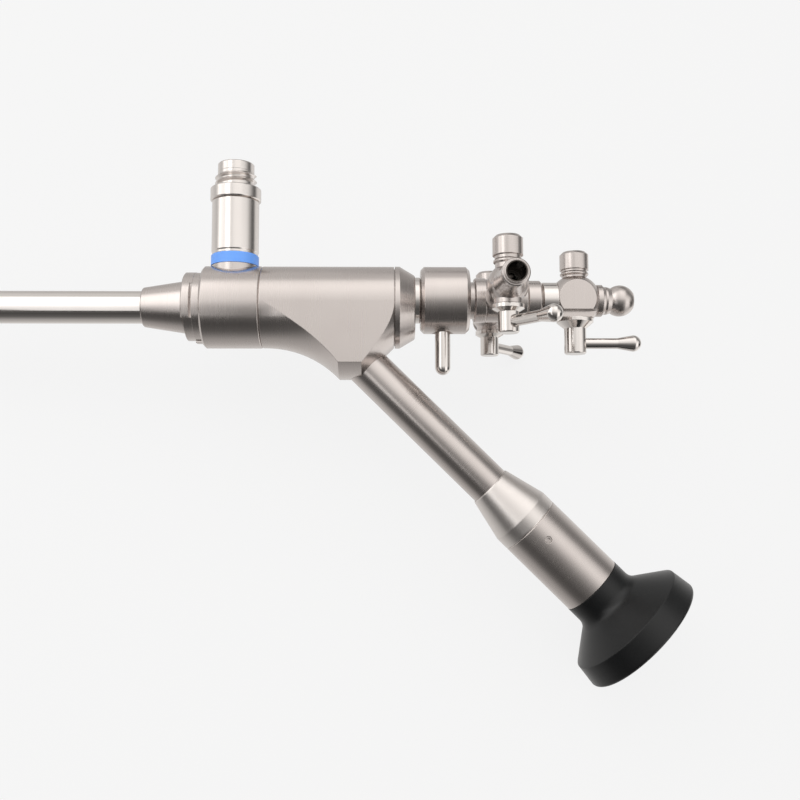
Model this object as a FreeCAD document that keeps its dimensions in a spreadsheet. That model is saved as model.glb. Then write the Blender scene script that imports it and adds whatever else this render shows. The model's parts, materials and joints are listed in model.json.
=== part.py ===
"""Percutaneous nephroscope: shaft, grip housing, light post, angled eyepiece and tap unit.

Lengths are millimetres. The instrument frame has its origin where the shaft axis meets
the front face of the front housing. X runs backwards along the shaft axis to the taps,
Z runs up to the light post and Y to the instrument's right. The last section lays the
instrument down on its right side, on the three places that touch a table.
"""
import FreeCAD, Part
import math
import os
import Sketcher
from FreeCAD import Placement, Rotation, Vector

doc = FreeCAD.newDocument("nephroscope")

# Driving dimensions
sheet = doc.addObject("Spreadsheet::Sheet", "sizes")
DIMENSIONS = [
    ("running_gap", 0.05, "radial gap of a turning fit"),
    ("seat_gap", 0.02, "radial gap of a soldered or screwed seat"),
    ("edge_break", 0.25, "small chamfer on turned edges"),
    ("fine_edge", 0.12, "very small chamfer at a seam"),
    ("shaft_dia", 7.9, "outside of the sheath tube, 24 Fr"),
    ("sheath_wall", 0.2, "wall of the sheath tube"),
    ("shaft_reach", 220.0, "tip to nose cone"),
    ("shaft_root_dia", 8.3, "sheath tube where it sits in the nose cone"),
    ("tip_bevel", 25.0, "slope of the tip's end face, degrees"),
    ("sheath_root", 3.0, "sheath tube inside the front housing"),
    ("channel_bore", 3.2, "bore of the working channel"),
    ("port_bore", 3.6, "bore of the instrument port"),
    ("channel_wall", 0.15, "wall of the channel tube"),
    ("channel_rise", 1.8, "channel axis above the shaft axis"),
    ("optic_dia", 2.8, "outside of the optic tube"),
    ("optic_wall", 0.2, "wall of the optic tube"),
    ("optic_drop", 2.1, "optic axis below the shaft axis"),
    ("tip_glass_thick", 0.8, "thickness of the tip window"),
    ("cone_reach", 10.35, "length of the nose cone"),
    ("cone_front_dia", 9.7, "nose cone at its front"),
    ("cone_back_dia", 12.8, "nose cone at the lock ring"),
    ("cone_nose_round", 0.5, "radius on the nose cone's front edge"),
    ("cone_sleeve_dia", 11.8, "sleeve behind the nose cone"),
    ("cone_sleeve_seat", 2.0, "sleeve inside the front housing"),
    ("lock_ring_dia", 16.9, "lug of the ring that holds an outer sheath"),
    ("lock_ring_width", 4.4, "length of the lock ring"),
    ("lock_band_dia", 16.75, "band behind the ring's lug"),
    ("lock_band_width", 1.85, "length of that band"),
    ("lock_lug_foot", 3.65, "lower end of the lug below the shaft axis"),
    ("lock_low_dia", 16.3, "ring below the lug"),
    ("lock_low_setback", 0.5, "ring below the lug starts this far back"),
    ("lock_slot_width", 0.6, "slot between lug and band"),
    ("lock_slot_top", 4.6, "upper end of the slot above the shaft axis"),
    ("lock_slot_floor", 6.7, "floor of the slot from the shaft axis"),
    ("lock_key_width", 2.2, "key under the ring"),
    ("lock_key_drop", 8.8, "underside of that key from the shaft axis"),
    ("front_dia", 19.9, "outside of the front housing"),
    ("front_width", 14.0, "length of the front housing"),
    ("front_chamfer", 0.5, "chamfer at the front face"),
    ("chamber_dia", 9.0, "chamber along the housings"),
    ("post_station", 7.1, "light post axis behind the front face"),
    ("post_boss_dia", 11.2, "boss under the colour ring"),
    ("post_boss_top", 10.1, "top of the boss above the shaft axis"),
    ("post_spigot_dia", 8.0, "spigot that carries the post"),
    ("post_spigot_top", 16.0, "top of the spigot"),
    ("colour_ring_dia", 11.55, "blue colour ring"),
    ("colour_ring_top", 12.7, "top of the colour ring"),
    ("post_band_dia", 11.1, "polished band over the colour ring"),
    ("post_band_top", 13.3, "top of the band"),
    ("post_sleeve_dia", 11.4, "light post sleeve"),
    ("post_sleeve_top", 26.2, "top of the sleeve"),
    ("post_nut_dia", 12.3, "ring nut"),
    ("post_nut_top", 29.4, "top of the ring nut"),
    ("post_adapter_dia", 10.2, "threaded adapter, over the thread"),
    ("post_adapter_top", 33.4, "top of the thread"),
    ("post_adapter_seat", 2.4, "adapter spigot inside the sleeve"),
    ("post_cap_dia", 8.85, "end fitting of the light post"),
    ("post_cap_top", 35.6, "top of the light post"),
    ("post_cap_wall", 1.5, "rim round the light window"),
    ("light_glass_thick", 0.6, "thickness of the light window"),
    ("light_glass_recess", 0.4, "window below the rim"),
    ("sealed_gap", 0.15, "gap round springs inside a cap"),
    ("fibre_dia", 4.8, "fibres in the light post"),
    ("grip_dia", 19.8, "cylinder of the main housing, and its width over the flats"),
    ("grip_width", 31.85, "length of the main housing"),
    ("flare_start", 0.8, "straight length before the flare"),
    ("flare_radius", 24.7, "radius of the concave flare"),
    ("flare_dia", 35.2, "turned diameter at the foot of the flare"),
    ("grip_back_angle", 45.0, "slope of the cone behind the flare, degrees"),
    ("prism_side", 2.4, "side of the deflecting prism"),
    ("rear_cap_dia", 19.9, "rear cap at its front"),
    ("rear_cap_land", 1.1, "cylindrical part of the rear cap"),
    ("rear_cap_face_dia", 15.8, "rear cap at its back"),
    ("rear_cap_width", 5.05, "length of the rear cap"),
    ("rear_groove_width", 0.25, "groove between housing and rear cap"),
    ("rear_groove_depth", 0.6, "depth of that groove"),
    ("seal_cord", 0.9, "cord of the rear cap's seal"),
    ("seal_circle", 16.6, "pitch diameter of that seal"),
    ("socket_dia", 11.2, "socket tube behind the rear cap"),
    ("socket_seat", 4.8, "socket tube inside the main housing"),
    ("socket_reach", 1.35, "socket tube in view behind the rear cap"),
    ("stem_dia", 9.0, "stem inside the locking collar"),
    ("collar_gap", 0.1, "end gap in front of the collar"),
    ("collar_dia", 16.3, "locking collar"),
    ("collar_width", 11.7, "length of the locking collar"),
    ("collar_chamfer", 0.8, "chamfer at the collar's ends"),
    ("collar_undercut", 1.3, "stem in view behind the collar"),
    ("gasket_thick", 1.0, "gasket in the tap unit's joint"),
    ("pin_dia", 3.75, "collar pin"),
    ("pin_setback", 0.5, "pin axis in front of the collar's middle"),
    ("pin_tip", 18.3, "tip of the pin from the channel axis"),
    ("pin_spot_depth", 0.45, "spot face under the pin"),
    ("pin_spot_dia", 5.0, "diameter of that spot face"),
    ("pin_thread_dia", 3.0, "threaded end of the pin"),
    ("pin_thread_reach", 2.4, "length of the threaded end"),
    ("hub_flange_dia", 10.9, "front flange of the tap manifold"),
    ("hub_flange_width", 2.9, "length of that flange"),
    ("hub_dia", 10.7, "tap manifold"),
    ("hub_width", 12.8, "tap manifold with its flange"),
    ("hub_boss_dia", 7.4, "side bosses of the manifold"),
    ("hub_boss_reach", 6.3, "boss faces from the channel axis"),
    ("hub_spigot_reach", 3.2, "manifold spigot inside the coupling"),
    ("coupling_spigot_dia", 6.4, "spigots inside the coupling"),
    ("coupling_dia", 9.75, "coupling sleeve"),
    ("coupling_width", 3.9, "length of the coupling sleeve"),
    ("coupling_ring_dia", 8.85, "ring behind the coupling sleeve"),
    ("side_tap_station", 5.95, "side tap axis behind the manifold's front"),
    ("side_tap_reach", 19.0, "side tap key axis from the channel axis"),
    ("side_arm_dia", 6.6, "arm from manifold to side tap"),
    ("side_spigot_dia", 3.8, "arm spigot inside the manifold"),
    ("side_spigot_gap", 1.2, "water space between spigot end and channel bore"),
    ("side_body_dia", 9.4, "ball shaped body of a side tap"),
    ("side_neck_top", 4.75, "underside of a side tap's flange"),
    ("side_foot", 4.5, "underside of a side tap's body, below its centre"),
    ("side_bore", 2.5, "water bore of a side tap"),
    ("port_reach", 14.0, "port mouth from the key axis"),
    ("port_seat", 4.6, "port fitting starts here, from the key axis"),
    ("port_root_dia", 6.7, "port fitting at that end"),
    ("port_spigot_dia", 3.8, "spigot of the fitting inside the body"),
    ("port_spigot_length", 0.9, "length of that spigot"),
    ("port_cone_dia", 7.4, "cone between body and port fitting"),
    ("port_neck_dia", 5.3, "port behind its flange"),
    ("port_neck_start", 8.6, "start of that neck from the key axis"),
    ("port_flange_dia", 6.2, "flange behind the port mouth"),
    ("port_flange_width", 1.7, "length of that flange"),
    ("port_lip_dia", 5.1, "lip in front of the flange"),
    ("port_lip_width", 0.8, "length of that lip"),
    ("inflow_bore", 4.1, "tubing socket in the left port"),
    ("outflow_bore", 4.4, "tubing socket in the right port, wider for the outflow"),
    ("socket_depth", 8.0, "depth of the tubing sockets"),
    ("tail_tap_reach", 8.05, "axial tap key axis behind the coupling sleeve"),
    ("tail_body_dia", 12.6, "ball shaped body of the axial tap"),
    ("tail_flat", 4.46, "flats of the axial tap from its axis"),
    ("tail_flat_stop", 0.3, "flats end this far below the flange"),
    ("tail_neck_top", 6.1, "underside of the axial tap's flange"),
    ("tail_foot", 4.4, "underside of the axial tap's body"),
    ("tail_boss_dia", 7.8, "boss behind the axial tap"),
    ("tail_boss_reach", 5.05, "boss face from the key axis"),
    ("tail_spigot_dia", 5.8, "spigot inside the tail ring"),
    ("tail_spigot_reach", 0.5, "that spigot past the tail ring"),
    ("tail_ring_width", 2.1, "length of the tail ring"),
    ("tail_ring_dia", 7.8, "tail ring"),
    ("ball_neck_dia", 6.1, "neck of the ball port"),
    ("ball_dia", 7.6, "ball of the instrument port"),
    ("ball_reach", 10.95, "ball centre from the axial tap's key axis"),
    ("ball_shoulder_dia", 6.8, "shoulder of the ball port at the tail ring"),
    ("port_seal_thick", 1.0, "seal in the instrument port"),
    ("port_seal_dia", 5.0, "outside of that seal"),
    ("neck_dia", 5.8, "neck of a tap body under its flange"),
    ("foot_dia", 6.6, "lower part of a tap body round the key"),
    ("side_flange_dia", 6.6, "top flange of a side tap's body"),
    ("side_flange_thick", 0.9, "thickness of that flange"),
    ("side_washer_dia", 6.0, "washer between flange and cap of a side tap"),
    ("tail_flange_dia", 6.9, "top flange of the axial tap's body"),
    ("tail_flange_thick", 0.8, "thickness of that flange"),
    ("tail_washer_dia", 6.3, "washer between flange and cap of the axial tap"),
    ("side_washer_thick", 0.9, "washer of a side tap"),
    ("tail_washer_thick", 0.6, "washer of the axial tap"),
    ("side_cap_height", 4.6, "height of a side tap's cap"),
    ("tail_cap_height", 4.45, "height of the axial tap's cap"),
    ("cap_wall", 0.7, "wall of a tap cap"),
    ("cap_roof", 0.8, "roof of a tap cap"),
    ("leaf_thick", 0.3, "leaf of a disc spring"),
    ("cap_chamfer", 0.7, "chamfer on a tap cap"),
    ("side_cap_dia", 6.9, "cap of a side tap"),
    ("tail_cap_dia", 7.0, "cap of the axial tap"),
    ("key_top_dia", 4.6, "tapered key at its top"),
    ("key_low_dia", 5.2, "tapered key at its foot"),
    ("key_stud_dia", 2.6, "stud of the key inside spring and cap"),
    ("key_gap", 0.04, "radial gap round the key"),
    ("foot_gap", 0.1, "gap between body and key skirt"),
    ("skirt_rim", 0.9, "straight rim of the key skirt"),
    ("side_skirt_dia", 7.3, "skirt of a side tap's key"),
    ("side_skirt_foot", 6.25, "foot of that skirt below the centre"),
    ("side_stub_dia", 4.75, "stub of a side tap's key"),
    ("side_stub_foot", 11.0, "foot of that stub below the centre"),
    ("side_lever_drop", 8.5, "side lever below the centre"),
    ("tail_skirt_dia", 8.9, "skirt of the axial tap's key"),
    ("tail_skirt_foot", 6.9, "foot of that skirt below the centre"),
    ("tail_stub_dia", 5.3, "stub of the axial tap's key"),
    ("tail_stub_foot", 13.1, "foot of that stub below the centre"),
    ("tail_lever_drop", 10.5, "axial lever below the centre"),
    ("stop_recess", 1.6, "height of the stop recess in a tap body"),
    ("stop_recess_inset", 2.75, "stop recess from the key axis"),
    ("lever_rod_dia", 2.6, "lever rod"),
    ("lever_root_dia", 1.8, "lever root inside the stub"),
    ("lever_root_depth", 1.5, "depth of that root"),
    ("lever_socket_depth", 0.35, "lever rod inside the stub"),
    ("lever_socket_gap", 0.15, "radial gap round the rod in the stub"),
    ("lever_flare_start", 10.2, "start of the lever's flare from the key axis"),
    ("lever_bulb_dia", 4.0, "lever bulb"),
    ("lever_bulb_centre", 14.1, "bulb centre from the key axis"),
    ("left_lever_turn", 35.0, "left lever off its port at rest, degrees"),
    ("right_lever_turn", 38.0, "right lever off its port at rest, degrees"),
    ("ocular_station", 24.8, "eyepiece axis meets the shaft axis here"),
    ("ocular_angle", 44.5, "eyepiece axis below the shaft axis, degrees"),
    ("ocular_seat", 13.0, "start of the eyepiece tube's seat"),
    ("ocular_tube_dia", 10.1, "eyepiece tube"),
    ("ocular_tube_wall", 1.0, "wall of the eyepiece tube"),
    ("ocular_cone_start", 61.8, "start of the cone"),
    ("ocular_cone_dia", 10.8, "cone at its start"),
    ("ocular_cone_end", 71.9, "end of the taper"),
    ("ocular_seam", 75.1, "seam between cone and barrel"),
    ("ocular_seam_width", 0.3, "polished line at the seam"),
    ("ocular_tube_lap", 5.0, "tube inside the cone"),
    ("barrel_dia", 15.6, "eyepiece barrel"),
    ("barrel_wall", 1.6, "wall of the barrel"),
    ("barrel_end", 95.5, "end of the barrel"),
    ("barrel_lap", 4.0, "spigots between cone, barrel and eyecup"),
    ("barrel_screw_place", 16.0, "set screw before the barrel's end"),
    ("barrel_screw_dia", 1.6, "set screw of the barrel"),
    ("barrel_screw_depth", 1.2, "length of that screw"),
    ("screw_recess", 0.2, "screw below the barrel's surface"),
    ("screw_socket", 0.5, "depth of the screw's hexagon socket"),
    ("lens_thick", 3.0, "eyepiece lens"),
    ("lens_seat", 1.0, "step in the cone that the lens lies on"),
    ("eyecup_neck_dia", 15.7, "eyecup at the barrel"),
    ("eyecup_neck_end", 99.1, "end of the eyecup's neck"),
    ("eyecup_flare_angle", 53.0, "slope of the eyecup's cone, degrees"),
    ("eyecup_flare_end", 106.6, "end of that cone"),
    ("eyecup_flare_radius", 3.0, "radius between neck and cone"),
    ("eyecup_rim_dia", 33.0, "rim of the eyecup"),
    ("eyecup_rim_end", 112.4, "end of the eyecup"),
    ("eyecup_rim_round", 0.8, "radius on the rim's edge"),
    ("eyecup_dish_dia", 27.0, "mouth of the eyecup's dish"),
    ("eyecup_dish_depth", 3.6, "depth of the dish"),
    ("eye_glass_dia", 9.0, "eyepiece window"),
    ("eye_glass_thick", 1.5, "thickness of that window"),
    ("eye_ring_dia", 12.0, "ring that holds the window"),
    ("eye_ring_thick", 1.2, "thickness of that ring"),
    ("eye_ring_slope", 0.8, "inner slope of that ring"),
    ("eye_view_lap", 1.0, "rim under the window"),
    ("dish_floor_land", 0.5, "land round the ring on the dish floor"),
]
for row, (alias, number, meaning) in enumerate(DIMENSIONS, start=1):
    sheet.set("A%d" % row, str(number))
    sheet.setAlias("A%d" % row, alias)
    sheet.set("B%d" % row, meaning)
doc.recompute()


class Size:
    """A number together with the sheet expression that gives it."""

    def __init__(self, number, text):
        self.number = float(number)
        self.text = text

    def __add__(self, other):
        return combine(self, "+", other, self.number + plain(other))

    def __radd__(self, other):
        return combine(other, "+", self, plain(other) + self.number)

    def __sub__(self, other):
        return combine(self, "-", other, self.number - plain(other))

    def __rsub__(self, other):
        return combine(other, "-", self, plain(other) - self.number)

    def __mul__(self, other):
        return combine(self, "*", other, self.number * plain(other))

    def __rmul__(self, other):
        return combine(other, "*", self, plain(other) * self.number)

    def __truediv__(self, other):
        return combine(self, "/", other, self.number / plain(other))

    def __neg__(self):
        return Size(-self.number, "(0 - %s)" % self.text)


def plain(value):
    """The number in a Size, or the number itself."""
    return value.number if isinstance(value, Size) else float(value)


def written(value):
    """The expression text of a Size or of a plain number."""
    return value.text if isinstance(value, Size) else repr(float(value))


def combine(left, sign, right, number):
    return Size(number, "(%s %s %s)" % (written(left), sign, written(right)))


def root(value):
    return Size(math.sqrt(plain(value)), "sqrt(%s)" % written(value))


def sine(angle):
    return Size(math.sin(math.radians(plain(angle))), "sin(%s)" % written(angle))


def cosine(angle):
    return Size(math.cos(math.radians(plain(angle))), "cos(%s)" % written(angle))


def tangent(angle):
    return Size(math.tan(math.radians(plain(angle))), "tan(%s)" % written(angle))


size = {alias: Size(sheet.get(alias), "sizes." + alias) for alias, number, meaning in DIMENSIONS}


# Sketches and features

class Bend:
    """An arc between two outline points. It bulges to the left of the way the outline runs."""

    def __init__(self, radius, left=True):
        self.radius = radius
        self.left = left


class Circle:
    """A full circle in a sketch."""

    def __init__(self, across, up, radius):
        self.across = across
        self.up = up
        self.radius = radius


def fix(sketch, kind, entity, point, value):
    """Holds one coordinate of a sketch point at a bound value."""
    if not isinstance(value, Size) and value == 0:
        axis = -2 if kind == "DistanceX" else -1
        sketch.addConstraint(Sketcher.Constraint("PointOnObject", entity, point, axis))
        return
    index = sketch.addConstraint(Sketcher.Constraint(kind, -1, 1, entity, point, plain(value)))
    if isinstance(value, Size):
        sketch.setExpression("Constraints[%d]" % index, value.text)


def fix_radius(sketch, entity, radius):
    index = sketch.addConstraint(Sketcher.Constraint("Radius", entity, plain(radius)))
    if isinstance(radius, Size):
        sketch.setExpression("Constraints[%d]" % index, radius.text)


def arc_between(start, end, bend):
    """The arc from start to end, and whether a sketch keeps its ends in that order."""
    half = (end - start) * 0.5
    radius = plain(bend.radius)
    side = Vector(-half.y, half.x, 0).normalize()
    rise = math.sqrt(max(radius ** 2 - half.Length ** 2, 0.0))
    centre = start + half + side * (-rise if bend.left else rise)
    first, last = (end, start) if bend.left else (start, end)
    angles = [math.atan2(p.y - centre.y, p.x - centre.x) for p in (first, last)]
    circle = Part.Circle(centre, Vector(0, 0, 1), radius)
    return Part.ArcOfCircle(circle, angles[0], angles[1]), not bend.left


def draw_loop(sketch, outline):
    """Draws a closed outline of points and bends, every point bound to the sheet."""
    corners = [item for item in outline if not isinstance(item, Bend)]
    bends = {}
    count = -1
    for item in outline:
        if isinstance(item, Bend):
            bends[count] = item
        else:
            count += 1
    spots = [Vector(plain(across), plain(up), 0) for across, up in corners]
    ends = []
    for number, spot in enumerate(spots):
        following = spots[(number + 1) % len(spots)]
        if number in bends:
            edge, in_order = arc_between(spot, following, bends[number])
        else:
            edge, in_order = Part.LineSegment(spot, following), True
        entity = sketch.addGeometry(edge, False)
        ends.append((entity, 1, 2) if in_order else (entity, 2, 1))
    for number, (entity, first, last) in enumerate(ends):
        following = ends[(number + 1) % len(ends)]
        sketch.addConstraint(Sketcher.Constraint("Coincident", entity, last, following[0], following[1]))
        if number in bends:
            fix_radius(sketch, entity, bends[number].radius)
        fix(sketch, "DistanceX", entity, first, corners[number][0])
        fix(sketch, "DistanceY", entity, first, corners[number][1])


def draw_circle(sketch, circle):
    middle = Vector(plain(circle.across), plain(circle.up), 0)
    entity = sketch.addGeometry(Part.Circle(middle, Vector(0, 0, 1), plain(circle.radius)), False)
    fix_radius(sketch, entity, circle.radius)
    fix(sketch, "DistanceX", entity, 3, circle.across)
    fix(sketch, "DistanceY", entity, 3, circle.up)


def sketch_on(body, plane, loops, offset=0, tilt=0, slide=0):
    """A sketch on one of the body's own planes, moved along the normal, tilted and slid up."""
    sketch = body.newObject("Sketcher::SketchObject", body.Label + "_sketch")
    face = [item for item in body.Origin.OriginFeatures if item.Role == plane + "_Plane"][0]
    sketch.AttachmentSupport = [(face, "")]
    sketch.MapMode = "FlatFace"
    move = Vector(0, plain(slide), plain(offset))
    sketch.AttachmentOffset = Placement(move, Rotation(Vector(1, 0, 0), plain(tilt)))
    for path, value in (("Base.y", slide), ("Base.z", offset), ("Rotation.Angle", tilt)):
        if isinstance(value, Size):
            sketch.setExpression("AttachmentOffset." + path, value.text)
    for loop in loops:
        if isinstance(loop, Circle):
            draw_circle(sketch, loop)
        else:
            draw_loop(sketch, loop)
    return sketch


def turn(body, kind, outline, upright=False):
    """Spins an outline of (along, radius) points about the body's X axis, or Z if upright."""
    if upright:
        flipped = []
        for item in outline:
            if isinstance(item, Bend):
                flipped.append(Bend(item.radius, not item.left))
            else:
                flipped.append((item[1], item[0]))
        outline = flipped
    sketch = sketch_on(body, "XZ" if upright else "XY", [outline])
    feature = body.newObject("PartDesign::" + kind, body.Label + "_turned")
    feature.Profile = sketch
    feature.ReferenceAxis = (sketch, ["V_Axis" if upright else "H_Axis"])
    feature.Angle = 360
    body.Tip = feature
    return feature


def extrude(body, kind, sketch, length=None):
    """Pads or pockets a sketch along its normal, or right through both ways."""
    feature = body.newObject("PartDesign::" + kind, body.Label + "_" + kind.lower())
    feature.Profile = sketch
    if length is None:
        feature.Type = 1
        feature.Midplane = True
    else:
        feature.Length = plain(length)
        if isinstance(length, Size):
            feature.setExpression("Length", length.text)
        feature.Reversed = kind == "Pocket"
    body.Tip = feature
    return feature


nodes = []


def new_body(name, frame):
    """A piece of its own, with the local frame that it is drawn in."""
    body = doc.addObject("PartDesign::Body", name)
    body.Label = name
    nodes.append((body, frame))
    return body


def turned(name, frame, outline, upright=False):
    body = new_body(name, frame)
    turn(body, "Revolution", outline, upright)
    return body


def tube_outline(start, end, outer, inner):
    """A plain ring or tube between two places."""
    return [(start, inner), (start, outer), (end, outer), (end, inner)]


def disc_outline(start, end, radius):
    return [(start, 0), (start, radius), (end, radius), (end, 0)]


def drill(body, plane, radius, across=0, up=0, start=0, depth=None, tilt=0, slide=0):
    """A round hole along a plane's normal."""
    sketch = sketch_on(body, plane, [Circle(across, up, radius)], start, tilt, slide)
    extrude(body, "Pocket", sketch, depth)


# Local frames
UP = Rotation(Vector(0, 1, 0), -90)
DOWN = Rotation(Vector(0, 1, 0), 90)
LEVEL = Rotation()


def frame_at(along=0, right=0, up=0, rotation=LEVEL):
    return Placement(Vector(plain(along), plain(right), plain(up)), rotation)


shaft_frame = frame_at()
channel_frame = frame_at(up=size["channel_rise"])
optic_frame = frame_at(up=-size["optic_drop"])
post_frame = frame_at(along=size["post_station"], rotation=UP)
ocular_turn = Rotation(Vector(0, 1, 0), plain(size["ocular_angle"]))
ocular_frame = frame_at(along=size["ocular_station"], rotation=ocular_turn)

# Stations along the shaft axis
ring_front = -size["lock_ring_width"]
cone_front = ring_front - size["cone_reach"]
tip = cone_front - size["shaft_reach"]
grip_front = size["front_width"]
grip_back = grip_front + size["grip_width"]
cap_back = grip_back + size["rear_cap_width"]
socket_back = cap_back + size["socket_reach"]
collar_front = socket_back + size["collar_gap"]
collar_back = collar_front + size["collar_width"]
hub_front = collar_back + size["collar_undercut"]
gasket_front = (collar_front + collar_back) / 2 - size["gasket_thick"] / 2
gasket_back = gasket_front + size["gasket_thick"]
hub_back = hub_front + size["hub_width"]
coupling_back = hub_back + size["coupling_width"]
side_tap_station = hub_front + size["side_tap_station"]
tail_tap_station = coupling_back + size["tail_tap_reach"]

# Radii that several pieces share
shaft_r = size["shaft_dia"] / 2
sheath_r = shaft_r - size["sheath_wall"]
bore_r = size["channel_bore"] / 2
channel_r = bore_r + size["channel_wall"]
optic_r = size["optic_dia"] / 2
optic_bore_r = optic_r - size["optic_wall"]
chamber_r = size["chamber_dia"] / 2
fibre_r = size["fibre_dia"] / 2
break_in = size["edge_break"]


# Shaft: sheath tube, channel tube, optic tube and the light fibres between them

bevel_slope = tangent(size["tip_bevel"])


def bevel_tip(body, rise=0):
    """Slopes the tip's end face, longest below. rise is the piece's own axis above the shaft's."""
    low = -shaft_r - 1
    high = shaft_r + 1
    long_side = tip - bevel_slope
    short_side = tip + bevel_slope * (2 * shaft_r + 1)
    loop = [(long_side - 1, low - rise), (long_side, low - rise),
            (short_side, high - rise), (long_side - 1, high - rise)]
    extrude(body, "Pocket", sketch_on(body, "XZ", [loop]))


sheath_root = size["sheath_root"]
root_r = size["shaft_root_dia"] / 2
sheath_tube = turned("sheath_tube", shaft_frame, [
    (tip, sheath_r),
    (tip, shaft_r),
    (cone_front, shaft_r),
    (cone_front, root_r),
    (sheath_root, root_r),
    (sheath_root, sheath_r),
])
bevel_tip(sheath_tube)

channel_tube = turned("channel_tube", channel_frame, tube_outline(tip, gasket_front, channel_r, bore_r))
bevel_tip(channel_tube, size["channel_rise"])

prism_half = size["prism_side"] / 2
prism_station = size["ocular_station"] + size["optic_drop"] / tangent(size["ocular_angle"])
prism_face = prism_station - prism_half
optic_tube = turned("optic_tube", optic_frame, tube_outline(tip, prism_face, optic_r, optic_bore_r))
bevel_tip(optic_tube, -size["optic_drop"])

glass_front = tip + bevel_slope * (shaft_r + optic_r - size["optic_drop"])
glass_r = optic_bore_r - size["seat_gap"]
turned("tip_window", optic_frame,
       disc_outline(glass_front, glass_front + size["tip_glass_thick"], glass_r))

fibre_bundle = new_body("fibre_bundle", shaft_frame)
packing_end = size["post_station"] + fibre_r
packing = sketch_on(fibre_bundle, "YZ", [
    Circle(0, 0, sheath_r - size["seat_gap"]),
    Circle(0, size["channel_rise"], channel_r + size["seat_gap"]),
    Circle(0, -size["optic_drop"], optic_r + size["seat_gap"]),
], offset=tip)
extrude(fibre_bundle, "Pad", packing, packing_end - tip)
bevel_tip(fibre_bundle)


# Nose cone and the lock ring that holds an outer sheath

sheath_bore_r = root_r + size["seat_gap"]
cone_front_r = size["cone_front_dia"] / 2
cone_back_r = size["cone_back_dia"] / 2
cone_sleeve_r = size["cone_sleeve_dia"] / 2
nose_round = size["cone_nose_round"]
turned("nose_cone", shaft_frame, [
    (cone_front, sheath_bore_r),
    (cone_front, cone_front_r - nose_round),
    Bend(nose_round),
    (cone_front + nose_round, cone_front_r),
    (ring_front, cone_back_r),
    (ring_front, cone_sleeve_r),
    (size["cone_sleeve_seat"], cone_sleeve_r),
    (size["cone_sleeve_seat"], sheath_bore_r),
])

lock_r = size["lock_ring_dia"] / 2
lock_band_r = size["lock_band_dia"] / 2
lock_low_r = size["lock_low_dia"] / 2
lock_bore_r = cone_sleeve_r + size["seat_gap"]
band_front = -size["lock_band_width"]
lock_ring = turned("lock_ring", shaft_frame, [
    (ring_front, lock_bore_r),
    (ring_front, lock_r - break_in),
    (ring_front + break_in, lock_r),
    (band_front, lock_r),
    (band_front, lock_band_r),
    (0, lock_band_r),
    (0, lock_bore_r),
])
beyond = lock_r + 2
lug_foot = -size["lock_lug_foot"]
low_side = root(lock_low_r * lock_low_r - lug_foot * lug_foot)
low_ring = [(-low_side, lug_foot), Bend(lock_low_r, left=False), (low_side, lug_foot), (beyond, lug_foot),
            (beyond, -beyond), (-beyond, -beyond), (-beyond, lug_foot)]
extrude(lock_ring, "Pocket", sketch_on(lock_ring, "YZ", [low_ring], offset=ring_front - 1),
        size["lock_ring_width"] - size["lock_band_width"] + 1)
low_front = [(-beyond, lug_foot), (beyond, lug_foot), (beyond, -beyond), (-beyond, -beyond)]
extrude(lock_ring, "Pocket", sketch_on(lock_ring, "YZ", [low_front], offset=ring_front - 1),
        size["lock_low_setback"] + 1)
slot_front = band_front - size["lock_slot_width"]
slot = [(slot_front, lug_foot), (band_front, lug_foot), (band_front, size["lock_slot_top"]),
        (slot_front, size["lock_slot_top"])]
extrude(lock_ring, "Pocket", sketch_on(lock_ring, "XZ", [slot], offset=size["lock_slot_floor"]),
        beyond - size["lock_slot_floor"])
key_half = size["lock_key_width"] / 2
lock_key = [(band_front, -key_half), (-break_in, -key_half), (-break_in, key_half), (band_front, key_half)]
extrude(lock_ring, "Pad", sketch_on(lock_ring, "XY", [lock_key], offset=-size["lock_key_drop"]),
        size["lock_key_drop"] - lock_low_r + 1)


# Front housing with the light post's boss

front_r = size["front_dia"] / 2
front_chamfer = size["front_chamfer"]
sleeve_bore_r = cone_sleeve_r + size["seat_gap"]
front_housing = turned("front_housing", shaft_frame, [
    (0, sleeve_bore_r),
    (0, front_r - front_chamfer),
    (front_chamfer, front_r),
    (grip_front - break_in, front_r),
    (grip_front, front_r - break_in),
    (grip_front, chamber_r),
    (sheath_root, chamber_r),
    (sheath_root, sheath_bore_r),
    (size["cone_sleeve_seat"], sheath_bore_r),
    (size["cone_sleeve_seat"], sleeve_bore_r),
])
boss_foot = sleeve_bore_r + 1
boss_sketch = sketch_on(front_housing, "XY", [Circle(size["post_station"], 0, size["post_boss_dia"] / 2)],
                        offset=boss_foot)
extrude(front_housing, "Pad", boss_sketch, size["post_boss_top"] - boss_foot)
spigot_r = size["post_spigot_dia"] / 2
spigot_sketch = sketch_on(front_housing, "XY", [Circle(size["post_station"], 0, spigot_r)],
                          offset=boss_foot)
extrude(front_housing, "Pad", spigot_sketch, size["post_spigot_top"] - boss_foot)
drill(front_housing, "XY", fibre_r + size["seat_gap"], across=size["post_station"],
      depth=size["post_spigot_top"] + 1)


# Light post, from the colour ring up to the light window

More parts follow.
